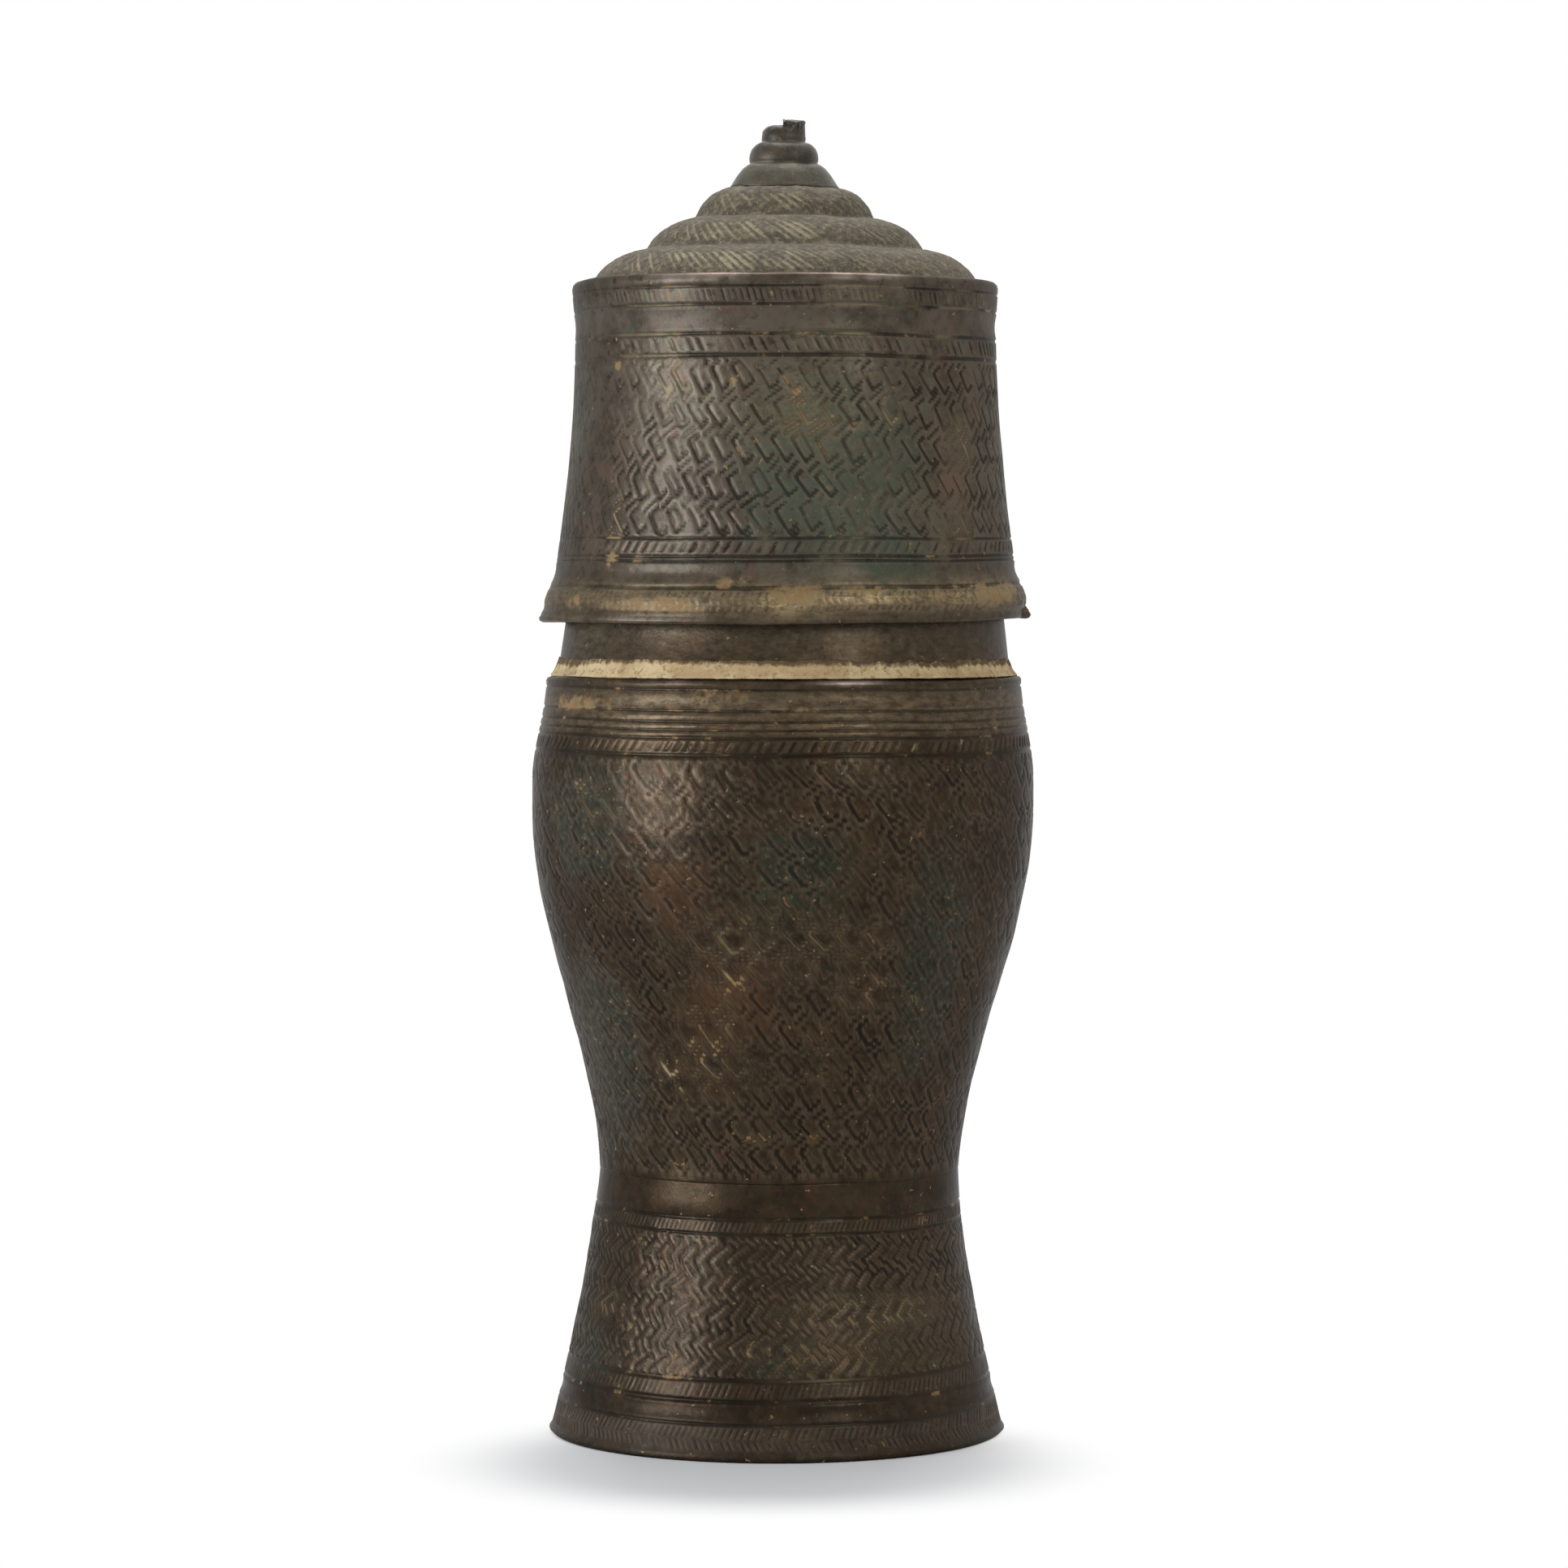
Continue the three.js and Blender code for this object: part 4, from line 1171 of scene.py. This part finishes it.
def smooth_bronze():
    """Bronze polished by handling and then left to dull: dark grey-brown, satin, pale dust in its seams
    and pitted black where torn."""
    material, tree, shader = new_material("cast_bronze_dark_smooth")
    place = add(tree, "TexCoord", {}, "Object")
    torn, seam_dust, upper = (
        add(tree, "Attribute", {}, "Fac", attribute_name=name) for name in ("torn", "seam_dust", "upper")
    )
    middle = add(tree, "TexNoise", {"Vector": place, "Scale": per(2.5), "Detail": 5, "Roughness": 0.6}, "Fac")
    fine = add(tree, "TexNoise", {"Vector": place, "Scale": per(0.6), "Detail": 4, "Roughness": 0.65}, "Fac")
    turn = add(tree, "MapRange", {"Value": middle, "From Min": 0.35, "From Max": 0.65}, **SMOOTH)
    colour = add(tree, "Mix", {0: turn, 6: linear("#3a362b"), 7: linear("#4e483a")}, 2, **COLOUR)
    brown = add(tree, "Mix", {0: turn, 6: linear("#2e2921"), 7: linear("#463e33")}, 2, **COLOUR)
    colour = add(tree, "Mix", {0: upper, 6: colour, 7: brown}, 2, **COLOUR)
    grit = add(
        tree, "MapRange", {"Value": fine, "From Min": 0.55, "From Max": 0.72, "To Max": 0.6}, **SMOOTH
    )
    colour = add(tree, "Mix", {0: grit, 6: colour, 7: linear("#6a6253")}, 2, **COLOUR)
    seams = add(tree, "Math", {0: seam_dust, 1: middle}, operation="MULTIPLY")
    seams = add(tree, "MapRange", {"Value": seams, "From Min": 0.2, "From Max": 0.5}, **SMOOTH)
    colour = add(tree, "Mix", {0: seams, 6: colour, 7: linear("#6c6453")}, 2, **COLOUR)
    pits = add(tree, "MapRange", {"Value": fine, "From Min": 0.6, "From Max": 0.4}, **SMOOTH)
    pits = add(tree, "Math", {0: pits, 1: torn}, operation="MULTIPLY")
    colour = add(tree, "Mix", {0: pits, 6: colour, 7: linear("#0e0b0a")}, 2, **COLOUR)
    grain = add(tree, "Bump", {"Height": fine, "Distance": 0.1 * MM, "Strength": 0.6})
    join(tree, shader, {"Base Color": colour, "Roughness": 0.4, "Metallic": 0.3, "Normal": grain})
    join(tree, shader, {"Specular IOR Level": 0.3})
    return material


def dried_lime():
    """Lime paste dried hard: tan, chalky, crumbly and uneven in colour."""
    material, tree, shader = new_material("lime_paste_dried")
    place = add(tree, "TexCoord", {}, "Object")
    middle = add(tree, "TexNoise", {"Vector": place, "Scale": per(5), "Detail": 5, "Roughness": 0.65}, "Fac")
    fine = add(tree, "TexNoise", {"Vector": place, "Scale": per(0.8), "Detail": 4, "Roughness": 0.7}, "Fac")
    stain = add(tree, "Attribute", {}, "Fac", attribute_name="stain")
    turn = add(tree, "MapRange", {"Value": middle, "From Min": 0.4, "From Max": 0.62}, **SMOOTH)
    colour = add(tree, "Mix", {0: turn, 6: linear("#c9b48b"), 7: linear("#b0966f")}, 2, **COLOUR)
    crumbs = add(tree, "MapRange", {"Value": fine, "From Min": 0.5, "From Max": 0.66}, **SMOOTH)
    colour = add(tree, "Mix", {0: crumbs, 6: colour, 7: linear("#9a815b")}, 2, **COLOUR)
    patchy = add(tree, "Math", {0: stain, 1: middle}, operation="ADD")
    patchy = add(tree, "Math", {0: patchy, 1: fine}, operation="ADD")
    patchy = add(tree, "MapRange", {"Value": patchy, "From Min": 1.55, "From Max": 2.0}, **SMOOTH)
    colour = add(tree, "Mix", {0: patchy, 6: colour, 7: linear("#5f4d37")}, 2, **COLOUR)
    grain = add(tree, "Bump", {"Height": fine, "Distance": 0.2 * MM, "Strength": 0.7})
    join(tree, shader, {"Base Color": colour, "Roughness": 0.9, "Specular IOR Level": 0.2, "Normal": grain})
    return material


def dress(piece, body, node, material):
    """Gives a finished piece its material and its place in the frame."""
    lean_over(piece)
    piece.data.materials.clear()
    piece.data.materials.append(material)
    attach(piece, body)
    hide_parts(node)


# Stage, in metres. The light that the room and the floor shed is less than the white that they show. The
# floor takes the object's shadow near it and fades to white further out.
ROOM_SHED = 0.47
FLOOR_SHED = 0.8
SHADOW_SHIFT = (0.002, 0.026, 0)
SHADOW_STRETCH = (0.95, 1, 1)
SHADOW_NEAR = 0.022
SHADOW_FAR = 0.042


def camera():
    data = bpy.data.cameras.new("camera")
    data.sensor_width = CAMERA_SENSOR
    data.lens = CAMERA_SENSOR * CAMERA_DISTANCE / (PHOTO_PIXELS / PIXELS_PER_MM * MM)
    made = bpy.data.objects.new("camera", data)
    bpy.context.scene.collection.objects.link(made)
    drop = math.atan((PHOTO_PIXELS / 2 - EYE_LEVEL_PIXEL) / PIXELS_PER_MM * MM / CAMERA_DISTANCE)
    made.location = (CAMERA_SIDE, -CAMERA_DISTANCE, CAMERA_HEIGHT)
    made.rotation_euler = (math.pi / 2 - drop, 0, 0)
    bpy.context.scene.camera = made


def softbox(name, bearing, distance, height, size, watts, aim, colour="#ffffff"):
    """An area lamp at a bearing round the object, 0 at the camera and positive to its right."""
    data = bpy.data.lights.new(name, "AREA")
    data.shape = "RECTANGLE"
    data.size, data.size_y = size
    data.energy = watts
    data.color = linear(colour)[:3]
    made = bpy.data.objects.new(name, data)
    bpy.context.scene.collection.objects.link(made)
    turn = math.radians(bearing)
    made.location = (distance * math.sin(turn), -distance * math.cos(turn), height)
    made.rotation_euler = (Vector((0, 0, aim)) - made.location).to_track_quat("-Z", "Y").to_euler()


def shown_or_shed(tree, shed):
    """Strength 1 for rays that show the surface itself, and shed for those that only carry its light."""
    camera_ray = add(tree, "LightPath", {}, "Is Camera Ray")
    glossy_ray = add(tree, "LightPath", {}, "Is Glossy Ray")
    clear_ray = add(tree, "LightPath", {}, "Is Transmission Ray")
    shown = add(tree, "Math", {0: camera_ray, 1: glossy_ray}, operation="MAXIMUM")
    shown = add(tree, "Math", {0: shown, 1: clear_ray}, operation="MAXIMUM")
    return add(tree, "MapRange", {"Value": shown, "To Min": shed})


def studio():
    world = bpy.data.worlds.new("white_room")
    bpy.context.scene.world = world
    world.use_nodes = True
    tree = world.node_tree
    shed = shown_or_shed(tree, ROOM_SHED)
    join(tree, tree.nodes["Background"], {"Color": linear("#ffffff"), "Strength": shed})

    deselect()
    bpy.ops.mesh.primitive_plane_add(size=8)
    floor = bpy.context.object
    floor.name = "floor"
    material, tree, shader = new_material("white_paper_floor")
    join(tree, shader, {"Base Color": linear("#f0f0f0"), "Roughness": 0.9})
    place = add(tree, "TexCoord", {}, "Object")
    place = add(tree, "Mapping", {"Vector": place, "Location": SHADOW_SHIFT, "Scale": SHADOW_STRETCH})
    reach = add(tree, "VectorMath", {0: place}, "Value", operation="LENGTH")
    far = add(tree, "MapRange", {"Value": reach, "From Min": SHADOW_NEAR, "From Max": SHADOW_FAR}, **SMOOTH)
    white = add(tree, "Emission", {"Strength": shown_or_shed(tree, FLOOR_SHED)})
    fade = add(tree, "MixShader", {0: far, 1: shader.outputs[0], 2: white})
    join(tree, tree.nodes["Material Output"], {"Surface": fade})
    floor.data.materials.append(material)

    softbox(
        "left_softbox", bearing=-59, distance=0.75, height=0.16, size=(0.4, 0.32), watts=3.8, aim=0.09,
        colour="#ecf3ff",
    )
    softbox("right_softbox", bearing=34, distance=0.7, height=0.4, size=(0.12, 0.4), watts=0.9, aim=0.1)
    softbox("top_softbox", bearing=175, distance=0.3, height=0.85, size=(0.4, 0.4), watts=4.2, aim=0.05)


camera()
studio()
bronze = chased_bronze()
dress(pedestal_foot(), "vessel", "pedestal_foot", bronze)
dress(container_body(), "vessel", "container_body", bronze)
dress(lime_crust(), "vessel", "lime_crust", dried_lime())
dress(lid_sleeve(), "lid", "lid_sleeve", bronze)
dress(lid_dome(), "lid", "lid_dome", dusty_bronze())
plain_bronze = smooth_bronze()
dress(finial(), "lid", "finial", plain_bronze)
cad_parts["floor_plate"].material_slots[0].material = plain_bronze

bpy.context.scene.view_settings.view_transform = "Standard"
